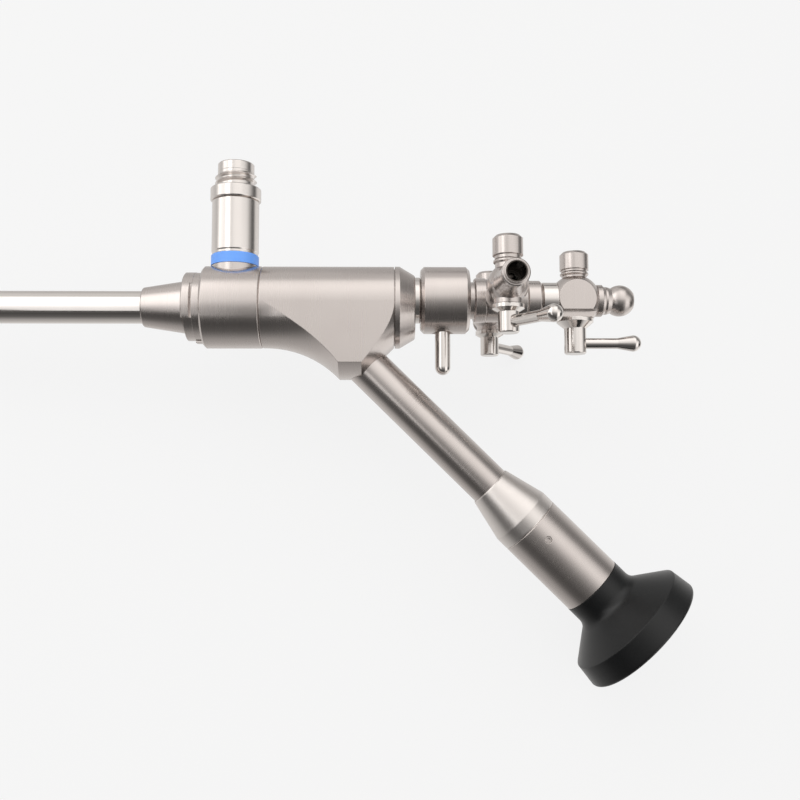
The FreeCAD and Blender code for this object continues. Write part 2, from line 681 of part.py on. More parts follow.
post_bore_r = fibre_r + size["seat_gap"]
spigot_bore_r = spigot_r + size["seat_gap"]
turned("colour_ring", post_frame, [
    (size["post_boss_top"], spigot_bore_r),
    (size["post_boss_top"], size["colour_ring_dia"] / 2),
    (size["colour_ring_top"] - break_in, size["colour_ring_dia"] / 2),
    (size["colour_ring_top"], size["colour_ring_dia"] / 2 - break_in),
    (size["colour_ring_top"], spigot_bore_r),
])
sleeve_r = size["post_sleeve_dia"] / 2
sleeve_top = size["post_sleeve_top"]
sleeve_socket = sleeve_top - size["post_adapter_seat"]
band_r = size["post_band_dia"] / 2
turned("post_sleeve", post_frame, [
    (size["colour_ring_top"], spigot_bore_r),
    (size["colour_ring_top"], band_r),
    (size["post_band_top"], band_r),
    (size["post_band_top"] + break_in, sleeve_r),
    (sleeve_top - break_in, sleeve_r),
    (sleeve_top, sleeve_r - break_in),
    (sleeve_top, spigot_bore_r),
    (sleeve_socket, spigot_bore_r),
    (sleeve_socket, post_bore_r),
    (size["post_spigot_top"], post_bore_r),
    (size["post_spigot_top"], spigot_bore_r),
])
nut_r = size["post_nut_dia"] / 2
nut_top = size["post_nut_top"]
turned("post_nut", post_frame, [
    (sleeve_top, spigot_bore_r),
    (sleeve_top, nut_r - break_in),
    (sleeve_top + break_in, nut_r),
    (nut_top - break_in, nut_r),
    (nut_top, nut_r - break_in),
    (nut_top, spigot_bore_r),
])
adapter_r = size["post_adapter_dia"] / 2
adapter_top = size["post_adapter_top"]
turned("post_adapter", post_frame, [
    (sleeve_socket, post_bore_r),
    (sleeve_socket, spigot_r),
    (nut_top, spigot_r),
    (nut_top, adapter_r),
    (adapter_top, adapter_r),
    (adapter_top, post_bore_r),
])

post_top = size["post_cap_top"]
post_cap_r = size["post_cap_dia"] / 2
window_r = post_cap_r - size["post_cap_wall"]
window_top = post_top - size["light_glass_recess"]
window_foot = window_top - size["light_glass_thick"]
turned("post_cap", post_frame, [
    (adapter_top, post_bore_r),
    (adapter_top, post_cap_r),
    (post_top - break_in, post_cap_r),
    (post_top, post_cap_r - break_in),
    (post_top, window_r),
    (window_foot, window_r),
    (window_foot, post_bore_r),
])
turned("light_window", post_frame, disc_outline(window_foot, window_top, window_r - size["seat_gap"]))
fibre_foot = sheath_r + size["seat_gap"]
turned("post_fibres", post_frame, disc_outline(fibre_foot, window_foot, fibre_r))


# Main housing: turned with a flare, then milled flat at its sides and round on top

grip_r = size["grip_dia"] / 2
flare_r = size["flare_dia"] / 2
flare_front = grip_front + size["flare_start"]
flare_rise = flare_r - grip_r
flare_run = root(flare_rise * (2 * size["flare_radius"] - flare_rise))
flare_back = grip_back - flare_rise / tangent(size["grip_back_angle"])
main_housing = turned("main_housing", shaft_frame, [
    (grip_front, chamber_r),
    (grip_front, grip_r - break_in),
    (grip_front + break_in, grip_r),
    (flare_front, grip_r),
    Bend(size["flare_radius"], left=False),
    (flare_front + flare_run, flare_r),
    (flare_back, flare_r),
    (grip_back, grip_r),
    (grip_back, chamber_r),
])
outside = flare_r + 2
envelope = [(-outside, -outside), (outside, -outside), (outside, outside), (-outside, outside)]
kept = [(-grip_r, -outside + 1), (grip_r, -outside + 1), (grip_r, 0), Bend(grip_r, left=False),
        (0, grip_r), Bend(grip_r, left=False), (-grip_r, 0)]
extrude(main_housing, "Pocket", sketch_on(main_housing, "YZ", [envelope, kept]))
socket_r = size["socket_dia"] / 2
socket_front = grip_back - size["socket_seat"]
drill(main_housing, "YZ", socket_r + size["seat_gap"], up=size["channel_rise"],
      start=socket_front, depth=size["socket_seat"] + 1)


def ocular_hole(radius, start, end):
    """A hole along the eyepiece axis, from one distance to another."""
    along = size["ocular_station"] + start * cosine(size["ocular_angle"])
    drop = start * sine(size["ocular_angle"])
    drill(main_housing, "YZ", radius, start=along, slide=-drop,
          tilt=size["ocular_angle"], depth=end - start)


ocular_tube_r = size["ocular_tube_dia"] / 2
light_path_r = ocular_tube_r - size["ocular_tube_wall"]
ocular_hole(ocular_tube_r + size["seat_gap"], size["ocular_seat"], size["ocular_seat"] + 2 * flare_r)
ocular_hole(light_path_r, size["optic_drop"], size["ocular_seat"] + 1)

prism = new_body("prism", frame_at(along=prism_station, up=-size["optic_drop"]))
prism_loop = [(-prism_half, -prism_half), (prism_half, -prism_half), (prism_half, prism_half * 0.2),
              (prism_half * 0.2, prism_half), (-prism_half, prism_half)]
prism_pad = extrude(prism, "Pad", sketch_on(prism, "XZ", [prism_loop]), size["prism_side"])
prism_pad.Midplane = True


# Rear cap with its seal, and the socket tube for the tap unit

rear_r = size["rear_cap_dia"] / 2
rear_face_r = size["rear_cap_face_dia"] / 2
rear_groove_back = grip_back + size["rear_groove_width"]
rear_groove_r = rear_r - size["rear_groove_depth"]
seal_r = size["seal_circle"] / 2
seal_half = size["seal_cord"] / 2
seal_seat = seal_half + size["seat_gap"]
rear_cap = turned("rear_cap", shaft_frame, [
    (grip_back, 0),
    (grip_back, seal_r - seal_seat),
    (grip_back + 2 * seal_seat, seal_r - seal_seat),
    (grip_back + 2 * seal_seat, seal_r + seal_seat),
    (grip_back, seal_r + seal_seat),
    (grip_back, rear_groove_r),
    (rear_groove_back, rear_groove_r),
    (rear_groove_back, rear_r),
    (rear_groove_back + size["rear_cap_land"], rear_r),
    (cap_back - break_in, rear_face_r),
    (cap_back, rear_face_r - break_in),
    (cap_back, 0),
])
drill(rear_cap, "YZ", socket_r + size["seat_gap"], up=size["channel_rise"])
turned("rear_seal", shaft_frame, tube_outline(grip_back + size["seat_gap"], grip_back + 2 * seal_half,
                                              seal_r + seal_half, seal_r - seal_half))
stem_r = size["stem_dia"] / 2
turned("rear_socket", channel_frame, [
    (socket_front, channel_r + size["seat_gap"]),
    (socket_front, socket_r),
    (socket_back - break_in, socket_r),
    (socket_back, socket_r - break_in),
    (socket_back, stem_r),
    (gasket_front, stem_r),
    (gasket_front, channel_r + size["seat_gap"]),
])
turned("socket_gasket", channel_frame,
       tube_outline(gasket_front, gasket_back, stem_r, bore_r))


# Locking collar and its pin, which turn together about the channel axis

collar_r = size["collar_dia"] / 2
collar_chamfer = size["collar_chamfer"]
collar_bore_r = stem_r + size["running_gap"]
pin_station = (collar_front + collar_back) / 2 - size["pin_setback"]
locking_collar = turned("locking_collar", channel_frame, [
    (collar_front, collar_bore_r),
    (collar_front, collar_r - collar_chamfer),
    (collar_front + collar_chamfer, collar_r),
    (collar_back - collar_chamfer, collar_r),
    (collar_back, collar_r - collar_chamfer),
    (collar_back, collar_bore_r),
])
pin_seat = collar_r - size["pin_spot_depth"]
pin_thread_r = size["pin_thread_dia"] / 2
drill(locking_collar, "XY", size["pin_spot_dia"] / 2, across=pin_station,
      start=-collar_r - 1, depth=size["pin_spot_depth"] + 1)
drill(locking_collar, "XY", pin_thread_r + size["seat_gap"], across=pin_station,
      start=-pin_seat - 0.5, depth=size["pin_thread_reach"] + 0.5)
pin_frame = frame_at(along=pin_station, up=size["channel_rise"], rotation=DOWN)
pin_r = size["pin_dia"] / 2
turned("collar_pin", pin_frame, [
    (pin_seat - size["pin_thread_reach"], 0),
    (pin_seat - size["pin_thread_reach"], pin_thread_r),
    (pin_seat, pin_thread_r),
    (pin_seat, pin_r),
    (size["pin_tip"] - pin_r, pin_r),
    Bend(pin_r),
    (size["pin_tip"], 0),
])


# Tap manifold, with a boss on each side for the side taps

hub_r = size["hub_dia"] / 2
hub_flange_r = size["hub_flange_dia"] / 2
hub_flange_back = hub_front + size["hub_flange_width"]
coupling_spigot_r = size["coupling_spigot_dia"] / 2
spigot_back = hub_back + size["hub_spigot_reach"]
tap_manifold = turned("tap_manifold", channel_frame, [
    (gasket_back, bore_r),
    (gasket_back, stem_r),
    (hub_front, stem_r),
    (hub_front, hub_flange_r - break_in),
    (hub_front + break_in, hub_flange_r),
    (hub_flange_back - break_in, hub_flange_r),
    (hub_flange_back, hub_flange_r - break_in),
    (hub_flange_back, hub_r - break_in),
    (hub_flange_back + break_in, hub_r),
    (hub_back - break_in, hub_r),
    (hub_back, hub_r - break_in),
    (hub_back, coupling_spigot_r),
    (spigot_back, coupling_spigot_r),
    (spigot_back, bore_r),
])
boss_reach = size["hub_boss_reach"]
side_boss = sketch_on(tap_manifold, "XZ", [Circle(side_tap_station, 0, size["hub_boss_dia"] / 2)],
                      offset=-boss_reach)
extrude(tap_manifold, "Pad", side_boss, 2 * boss_reach)
drill(tap_manifold, "YZ", bore_r, start=hub_front, depth=size["hub_width"])
side_spigot_r = size["side_spigot_dia"] / 2
drill(tap_manifold, "XZ", side_spigot_r + size["seat_gap"], across=side_tap_station)


# Taps: body, tapered key, lever, cap, disc spring and washer

key_top_r = size["key_top_dia"] / 2
key_low_r = size["key_low_dia"] / 2
key_gap = size["key_gap"]
stud_r = size["key_stud_dia"] / 2
neck_r = size["neck_dia"] / 2
foot_r = size["foot_dia"] / 2


def side_body_outline():
    """A side tap's body about its water axis, with the arm behind and the port's seat in front."""
    ball_r = size["side_body_dia"] / 2
    arm_r = size["side_arm_dia"] / 2
    cone_r = size["port_cone_dia"] / 2
    arm_end = -root(ball_r * ball_r - arm_r * arm_r)
    cone_start = root(ball_r * ball_r - cone_r * cone_r)
    boss_face = size["hub_boss_reach"] - size["side_tap_reach"]
    spigot_end = bore_r + size["side_spigot_gap"] - size["side_tap_reach"]
    return [
        (spigot_end, 0),
        (spigot_end, side_spigot_r),
        (boss_face, side_spigot_r),
        (boss_face, arm_r),
        (arm_end, arm_r),
        Bend(ball_r),
        (0, ball_r),
        Bend(ball_r),
        (cone_start, cone_r),
        (size["port_seat"], size["port_root_dia"] / 2),
        (size["port_seat"], 0),
    ]


def tail_body_outline():
    """The axial tap's body about the channel axis."""
    ball_r = size["tail_body_dia"] / 2
    boss_r = size["tail_boss_dia"] / 2
    spigot_front = spigot_back - tail_tap_station
    ring_seat = root(ball_r * ball_r - coupling_spigot_r * coupling_spigot_r)
    boss_start = root(ball_r * ball_r - boss_r * boss_r)
    tail_spigot_r = size["tail_spigot_dia"] / 2
    spigot_end = size["tail_boss_reach"] + size["tail_ring_width"] + size["tail_spigot_reach"]
    return [
        (spigot_front, 0),
        (spigot_front, coupling_spigot_r),
        (-ring_seat, coupling_spigot_r),
        Bend(ball_r),
        (0, ball_r),
        Bend(ball_r),
        (boss_start, boss_r),
        (size["tail_boss_reach"], boss_r),
        (size["tail_boss_reach"], tail_spigot_r),
        (spigot_end, tail_spigot_r),
        (spigot_end, 0),
    ]


def make_port(name, frame, tubing_bore):
    """The fitting in front of a side tap: a cone with a spigot behind, a flange and a lip."""
    seat = size["port_seat"]
    spigot_end = seat - size["port_spigot_length"]
    spigot_r = size["port_spigot_dia"] / 2
    port_neck_r = size["port_neck_dia"] / 2
    ring_r = size["port_flange_dia"] / 2
    lip_r = size["port_lip_dia"] / 2
    mouth = size["port_reach"]
    lip_foot = mouth - size["port_lip_width"]
    flange_foot = lip_foot - size["port_flange_width"]
    tubing_foot = mouth - size["socket_depth"]
    tubing_r = tubing_bore / 2
    water_r = size["side_bore"] / 2
    turned(name, frame, [
        (spigot_end, water_r),
        (spigot_end, spigot_r),
        (seat, spigot_r),
        (seat, size["port_root_dia"] / 2),
        (size["port_neck_start"], port_neck_r),
        (flange_foot - break_in, port_neck_r),
        (flange_foot, ring_r - break_in),
        (flange_foot + break_in, ring_r),
        (lip_foot - break_in, ring_r),
        (lip_foot, ring_r - break_in),
        (lip_foot, lip_r),
        (mouth - size["fine_edge"], lip_r),
        (mouth, lip_r - size["fine_edge"]),
        (mouth, tubing_r),
        (tubing_foot, tubing_r),
        (tubing_foot, water_r),
    ])


def make_tap(label, frame, body_outline, kind, recess_side, lever_turn):
    """One tap. kind picks its own sizes, side or tail, and recess_side the stop recess."""
    centre_turn = Rotation(Vector(0, 0, 1), lever_turn)
    key_frame = frame.multiply(Placement(Vector(0, 0, 0), centre_turn))
    neck_top = size[kind + "_neck_top"]
    flange_r = size[kind + "_flange_dia"] / 2
    flange_top = neck_top + size[kind + "_flange_thick"]
    washer_top = flange_top + size[kind + "_washer_thick"]
    foot = -size[kind + "_foot"]
    key_foot_r = key_low_r + key_gap
    water_r = size["side_bore"] / 2 if kind == "side" else bore_r

    body = turned(label + "_tap_body", frame, body_outline)
    turn(body, "Revolution", [
        (foot, 0),
        (foot, foot_r),
        (0, foot_r),
        (0, neck_r),
        (neck_top, neck_r),
        (neck_top, flange_r - break_in),
        (neck_top + break_in, flange_r),
        (flange_top - break_in, flange_r),
        (flange_top, flange_r - break_in),
        (flange_top, 0),
    ], upright=True)
    drill(body, "YZ", water_r)
    far = size[kind + "_body_dia"]
    low_cut = [(-far, foot - far), (far, foot - far), (far, foot), (-far, foot)]
    extrude(body, "Pocket", sketch_on(body, "XZ", [low_cut]))
    if kind == "side":
        drill(body, "YZ", size["port_spigot_dia"] / 2 + size["seat_gap"],
              start=size["port_seat"] - size["port_spigot_length"] - size["seat_gap"], depth=far)
    else:
        flat = size["tail_flat"]
        half = size["tail_body_dia"] / 2
        side_cut = [(-half, flat), (half, flat), (half, half + 1), (-half, half + 1)]
        other_cut = [(-half, -half - 1), (half, -half - 1), (half, -flat), (-half, -flat)]
        lower = -half - 1
        for loop in (side_cut, other_cut):
            extrude(body, "Pocket", sketch_on(body, "XY", [loop], offset=lower),
                    neck_top - lower - size["tail_flat_stop"])
    recess_near = recess_side * size["stop_recess_inset"]
    recess_far = recess_side * far
    recess_half = size[kind + "_body_dia"] / 2
    near, away = (recess_near, recess_far) if recess_side > 0 else (recess_far, recess_near)
    recess = [(-recess_half, near), (recess_half, near), (recess_half, away), (-recess_half, away)]
    extrude(body, "Pocket", sketch_on(body, "XY", [recess], offset=foot - 1),
            size["stop_recess"] + 1)
    turn(body, "Groove", [
        (foot - 1, 0),
        (foot - 1, key_foot_r),
        (foot, key_foot_r),
        (flange_top, key_top_r + key_gap),
        (flange_top + 1, key_top_r + key_gap),
        (flange_top + 1, 0),
    ], upright=True)

    cap_r = size[kind + "_cap_dia"] / 2
    cap_top = washer_top + size[kind + "_cap_height"]
    spring_top = cap_top - size["cap_roof"]
    skirt_top = foot - size["foot_gap"]
    skirt_r = size[kind + "_skirt_dia"] / 2
    skirt_foot = -size[kind + "_skirt_foot"]
    stub_r = size[kind + "_stub_dia"] / 2
    stub_foot = -size[kind + "_stub_foot"]
    key = turned(label + "_tap_key", key_frame, [
        (stub_foot, 0),
        (stub_foot, stub_r - break_in),
        (stub_foot + break_in, stub_r),
        (skirt_foot, stub_r),
        (skirt_top - size["skirt_rim"], skirt_r),
        (skirt_top, skirt_r),
        (skirt_top, key_low_r),
        (foot, key_low_r),
        (flange_top, key_top_r),
        (flange_top, stud_r),
        (cap_top - break_in, stud_r),
        (cap_top - break_in, 0),
    ], upright=True)
    drill(key, "YZ", water_r)
    lever_drop = size[kind + "_lever_drop"]
    root_depth = size["lever_root_depth"]
    lever_root_r = size["lever_root_dia"] / 2
    lever_seat = stub_r - size["lever_socket_depth"]
    drill(key, "YZ", size["lever_rod_dia"] / 2 + size["lever_socket_gap"], up=-lever_drop,
          start=lever_seat, depth=1)
    drill(key, "YZ", lever_root_r + size["seat_gap"], up=-lever_drop,
          start=lever_seat - root_depth, depth=root_depth + break_in)

    rod_r = size["lever_rod_dia"] / 2
    bulb_r = size["lever_bulb_dia"] / 2
    bulb_at = size["lever_bulb_centre"]
    lever_frame = key_frame.multiply(frame_at(up=-lever_drop))
    turned(label + "_tap_lever", lever_frame, [
        (lever_seat - root_depth, 0),
        (lever_seat - root_depth, lever_root_r),
        (lever_seat, lever_root_r),
        (lever_seat, rod_r),
        (size["lever_flare_start"], rod_r),
        (bulb_at, bulb_r),
        Bend(bulb_r),
        (bulb_at + bulb_r, 0),
    ])
    cap_chamfer = size["cap_chamfer"]
    inner_r = cap_r - size["cap_wall"]
    turned(label + "_tap_cap", key_frame, [
        (washer_top, inner_r),
        (washer_top, cap_r),
        (cap_top - cap_chamfer, cap_r),
        (cap_top, cap_r - cap_chamfer),
        (cap_top, stud_r + size["seat_gap"]),
        (spring_top, stud_r + size["seat_gap"]),
        (spring_top, inner_r),
    ], upright=True)
    coil_in = stud_r + size["sealed_gap"]
    coil_out = inner_r - size["sealed_gap"]
    turned(label + "_tap_spring", key_frame, disc_spring(washer_top, spring_top, coil_in, coil_out),
           upright=True)
    turned(label + "_tap_washer", key_frame,
           tube_outline(flange_top + size["running_gap"], washer_top, size[kind + "_washer_dia"] / 2,
                        stud_r + size["seat_gap"]), upright=True)


def disc_spring(low, high, inner, outer):
    """A stack of three disc springs, drawn as one folded leaf."""
    leaf = size["leaf_thick"]
    fold = (high - low) * 0.375
    return [
        (low, outer - leaf),
        (low, outer),
        (low + fold, inner + leaf),
        (high - fold, outer),
        (high, inner + leaf),
        (high, inner),
        (high - fold, outer - leaf),
        (low + fold, inner),
    ]


left_frame = frame_at(along=side_tap_station, right=-size["side_tap_reach"],
                      up=size["channel_rise"], rotation=Rotation(Vector(0, 0, 1), -90))
right_frame = frame_at(along=side_tap_station, right=size["side_tap_reach"],
                       up=size["channel_rise"], rotation=Rotation(Vector(0, 0, 1), 90))
tail_frame = frame_at(along=tail_tap_station, up=size["channel_rise"])
make_tap("left", left_frame, side_body_outline(), "side", 1, plain(size["left_lever_turn"]))
make_tap("right", right_frame, side_body_outline(), "side", -1, -plain(size["right_lever_turn"]))
make_tap("axial", tail_frame, tail_body_outline(), "tail", -1, 0)
make_port("left_water_port", left_frame, size["inflow_bore"])
make_port("right_water_port", right_frame, size["outflow_bore"])


# Coupling, tail ring and ball shaped instrument port

coupling_r = size["coupling_dia"] / 2
coupling_bore_r = coupling_spigot_r + size["seat_gap"]
turned("coupling_sleeve", channel_frame, [
    (hub_back, coupling_bore_r),
    (hub_back, coupling_r - break_in),
    (hub_back + break_in, coupling_r),
    (coupling_back - collar_chamfer, coupling_r),
    (coupling_back, coupling_r - collar_chamfer),
    (coupling_back, coupling_bore_r),
])
coupling_ring_r = size["coupling_ring_dia"] / 2
tail_ball_r = size["tail_body_dia"] / 2
ring_back = tail_tap_station - root(tail_ball_r * tail_ball_r - coupling_ring_r * coupling_ring_r)
ring_bore_back = tail_tap_station - root(tail_ball_r * tail_ball_r - coupling_bore_r * coupling_bore_r)
turned("coupling_ring", channel_frame, [
    (coupling_back, coupling_bore_r),
    (coupling_back, coupling_ring_r),
    (ring_back - size["seat_gap"], coupling_ring_r),
    Bend(tail_ball_r + size["seat_gap"], left=False),
    (ring_bore_back - size["seat_gap"], coupling_bore_r),
])
tail_front = tail_tap_station + size["tail_boss_reach"]
tail_back = tail_front + size["tail_ring_width"]
tail_ring_r = size["tail_ring_dia"] / 2
tail_bore_r = size["tail_spigot_dia"] / 2 + size["seat_gap"]
tail_third = size["tail_ring_width"] / 3
turned("tail_ring", channel_frame, [
    (tail_front, tail_bore_r),
    (tail_front, tail_ring_r - break_in),
    (tail_front + break_in, tail_ring_r),
    (tail_front + 2 * tail_third, tail_ring_r),
    (tail_front + 2 * tail_third, tail_ring_r - break_in),
    (tail_back, tail_ring_r - 2 * break_in),
    (tail_back, tail_bore_r),
])
ball_r = size["ball_dia"] / 2
ball_centre = tail_tap_station + size["ball_reach"]
ball_neck_r = size["ball_neck_dia"] / 2
ball_start = ball_centre - root(ball_r * ball_r - ball_neck_r * ball_neck_r)
shoulder_r = size["ball_shoulder_dia"] / 2
spigot_end = tail_back + size["tail_spigot_reach"]
seal_out_r = size["port_seal_dia"] / 2
seal_end = spigot_end + size["port_seal_thick"]
port_bore_r = size["port_bore"] / 2
mouth_r = port_bore_r + break_in
ball_end = ball_centre + root(ball_r * ball_r - mouth_r * mouth_r)
turned("ball_port", channel_frame, [
    (tail_back, tail_bore_r),
    (tail_back, shoulder_r),
    (spigot_end, shoulder_r),
    (ball_start, ball_neck_r),
    Bend(ball_r),
    (ball_centre, ball_r),
    Bend(ball_r),
    (ball_end, mouth_r),
    (ball_end - break_in, port_bore_r),
    (seal_end, port_bore_r),
    (seal_end, seal_out_r + size["seat_gap"]),
    (spigot_end, seal_out_r + size["seat_gap"]),
    (spigot_end, tail_bore_r),
])
turned("port_seal", channel_frame, tube_outline(spigot_end, seal_end, seal_out_r, bore_r))


# Eyepiece: tube, cone, barrel with its lens and set screw, eyecup and window

cone_lap = size["ocular_cone_start"] + size["ocular_tube_lap"]
turned("ocular_tube", ocular_frame,
       tube_outline(size["ocular_seat"], cone_lap, ocular_tube_r, light_path_r))
barrel_r = size["barrel_dia"] / 2
barrel_bore_r = barrel_r - size["barrel_wall"]
lap_r = barrel_bore_r - size["seat_gap"]
seam = size["ocular_seam"]
seam_front = seam - size["ocular_seam_width"]
tube_socket_r = ocular_tube_r + size["seat_gap"]
cone_bore_r = lap_r - size["lens_seat"]
turned("ocular_cone", ocular_frame, [
    (size["ocular_cone_start"], tube_socket_r),
    (size["ocular_cone_start"], size["ocular_cone_dia"] / 2 - size["fine_edge"]),
    (size["ocular_cone_start"] + size["edge_break"], size["ocular_cone_dia"] / 2),
    (size["ocular_cone_end"], barrel_r),
    (seam_front, barrel_r),
    (seam, barrel_r - size["fine_edge"]),
    (seam, lap_r),
    (seam + size["barrel_lap"], lap_r),
    (seam + size["barrel_lap"], cone_bore_r),
    (cone_lap + size["ocular_tube_wall"], cone_bore_r),
    (cone_lap, light_path_r),
    (cone_lap, tube_socket_r),
])
lens_front = seam + size["barrel_lap"]
lens_back = lens_front + size["lens_thick"]
barrel_end = size["barrel_end"]
barrel_edge = size["fine_edge"]
ocular_barrel = turned("ocular_barrel", ocular_frame, [
    (seam, barrel_bore_r),
    (seam, barrel_r - barrel_edge),
    (seam + barrel_edge, barrel_r),
    (barrel_end - barrel_edge, barrel_r),
    (barrel_end, barrel_r - barrel_edge),
    (barrel_end, barrel_bore_r),
])
screw_place = barrel_end - size["barrel_screw_place"]
screw_r = size["barrel_screw_dia"] / 2
screw_seat = barrel_r - size["barrel_screw_depth"]
screw_top = barrel_r - size["screw_recess"]
screw_floor = screw_top - size["screw_socket"]
drill(ocular_barrel, "XZ", screw_r + size["seat_gap"], across=screw_place,
      start=screw_seat, depth=size["barrel_screw_depth"] + 1)
screw_frame = ocular_frame.multiply(frame_at(along=screw_place, rotation=Rotation(Vector(0, 0, 1), -90)))
turned("barrel_screw", screw_frame, [
    (screw_seat, 0),
    (screw_seat, screw_r),
    (screw_top, screw_r),
    (screw_top, screw_r / 2),
    (screw_floor, screw_r / 2),
    (screw_floor, 0),
])
crown = size["lens_thick"] / 3
lens_r = barrel_bore_r - size["seat_gap"]
crown_radius = (lens_r * lens_r + crown * crown) / (2 * crown)
turned("ocular_lens", ocular_frame, [
    (lens_front, 0),
    (lens_front, lens_r),
    (lens_back - crown, lens_r),
    Bend(crown_radius),
    (lens_back, 0),
])

neck_cup_r = size["eyecup_neck_dia"] / 2
neck_end = size["eyecup_neck_end"]
flare_cup_radius = size["eyecup_flare_radius"]
flare_angle = size["eyecup_flare_angle"]
flare_cone_start = neck_end + flare_cup_radius * sine(flare_angle)
flare_foot_r = neck_cup_r + flare_cup_radius * (1 - cosine(flare_angle))
flare_end = size["eyecup_flare_end"]
flare_cup_r = flare_foot_r + (flare_end - flare_cone_start) * tangent(flare_angle)
rim_r = size["eyecup_rim_dia"] / 2
rim_end = size["eyecup_rim_end"]
rim_round = size["eyecup_rim_round"]
dish_r = size["eyecup_dish_dia"] / 2
dish_floor = rim_end - size["eyecup_dish_depth"]
eye_glass_r = size["eye_glass_dia"] / 2
eye_ring_r = size["eye_ring_dia"] / 2
ring_foot = dish_floor - size["eye_ring_thick"]
glass_foot = ring_foot - size["eye_glass_thick"]
view_r = eye_glass_r - size["eye_view_lap"]
turned("eyecup", ocular_frame, [
    (barrel_end - size["barrel_lap"], view_r),
    (barrel_end - size["barrel_lap"], lap_r),
    (barrel_end, lap_r),
    (barrel_end, neck_cup_r),
    (neck_end, neck_cup_r),
    Bend(flare_cup_radius, left=False),
    (flare_cone_start, flare_foot_r),
    (flare_end, flare_cup_r),
    (rim_end - rim_round, rim_r),
    Bend(rim_round),
    (rim_end, rim_r - rim_round),
    (rim_end, dish_r),
    (dish_floor, eye_ring_r + size["seat_gap"] + size["dish_floor_land"]),
    (dish_floor, eye_ring_r + size["seat_gap"]),
    (ring_foot, eye_ring_r + size["seat_gap"]),
    (ring_foot, eye_glass_r + size["seat_gap"]),
    (glass_foot, eye_glass_r + size["seat_gap"]),
    (glass_foot, view_r),
])
turned("eyepiece_window", ocular_frame, disc_outline(glass_foot, ring_foot, eye_glass_r))
turned("window_ring", ocular_frame, [
    (ring_foot, view_r),
    (ring_foot, eye_ring_r),
    (dish_floor, eye_ring_r),
    (dish_floor, view_r + size["eye_ring_slope"]),
])


# Rest on a table: the shaft tip, the right port or its lever, and the eyecup's rim touch it

def rim_points(frame, along, radius, count=360):
    """Points round a rim that is square to its frame's X axis."""
    points = []
    for number in range(count):
        angle = 2 * math.pi * number / count
        spot = Vector(plain(along), plain(radius) * math.cos(angle), plain(radius) * math.sin(angle))
        points.append(frame.multVec(spot))
    return points


def tip_points(count=360):
    """Points round the sloping rim of the sheath tube."""
    points = []
    radius = plain(shaft_r)
    for number in range(count):
        angle = 2 * math.pi * number / count
        height = radius * math.sin(angle)
        along = plain(tip) + plain(bevel_slope) * (height + radius)
        points.append(Vector(along, radius * math.cos(angle), height))
    return points


port_rim = rim_points(right_frame, size["port_reach"], size["port_lip_dia"] / 2 - size["fine_edge"])
flange_front = size["port_reach"] - size["port_lip_width"]
port_edge = rim_points(right_frame, flange_front - break_in, size["port_flange_dia"] / 2)
cup_rim = []
for step in range(7):
    lean = math.radians(15 * step)
    cup_rim += rim_points(ocular_frame, rim_end - rim_round + rim_round * math.sin(lean),
                          rim_r - rim_round + rim_round * math.cos(lean))
right_turn = Placement(Vector(0, 0, 0), Rotation(Vector(0, 0, 1), -plain(size["right_lever_turn"])))
right_lever = right_frame.multiply(right_turn).multiply(frame_at(up=-size["side_lever_drop"]))
lever_ball = []
ball_radius = size["lever_bulb_dia"] / 2
for step in range(19):
    lean = math.radians(5 * step)
    lever_ball += rim_points(right_lever, size["lever_bulb_centre"] + ball_radius * math.sin(lean),
                             ball_radius * math.cos(lean))
touching = [tip_points(), port_rim + port_edge + lever_ball, cup_rim]
table_normal = Vector(0, 1, 0)
for attempt in range(20):
    feet = [max(group, key=lambda spot: spot.dot(table_normal)) for group in touching]
    table_normal = (feet[1] - feet[0]).cross(feet[2] - feet[0]).normalize()
    if table_normal.y < 0:
        table_normal = -table_normal

# The table's normal becomes down, and the shaft keeps pointing along the row's X axis
down = table_normal
forward = (Vector(1, 0, 0) - down * down.x).normalize()
left_hand = (-down).cross(forward)
turn_down = Rotation(forward, left_hand, -down, "ZXY").inverted()
laid = Placement(Vector(0, 0, 0), turn_down)

doc.recompute()
for body, frame in nodes:
    body.Placement = laid.multiply(frame)
doc.recompute()
whole = FreeCAD.BoundBox()
for body, frame in nodes:
    whole.add(body.Shape.optimalBoundingBox(False, False))
centred = Placement(Vector(-whole.Center.x, -whole.Center.y, -whole.ZMin), Rotation())
for body, frame in nodes:
    body.Placement = centred.multiply(laid).multiply(frame)
doc.recompute()

# Every object has to be sound before anything is written
for item in doc.Objects:
    if "Invalid" in item.State or "Error" in item.State:
        raise RuntimeError("failed feature: %s %s" % (item.Label, item.State))
for body, frame in nodes:
    if body.Shape.isNull() or not body.Shape.isValid() or len(body.Shape.Solids) != 1:
        raise RuntimeError("unsound piece: " + body.Label)

os.makedirs("parts", exist_ok=True)
for body, frame in nodes:
    body.Shape.exportStep("parts/%s.step" % body.Label)

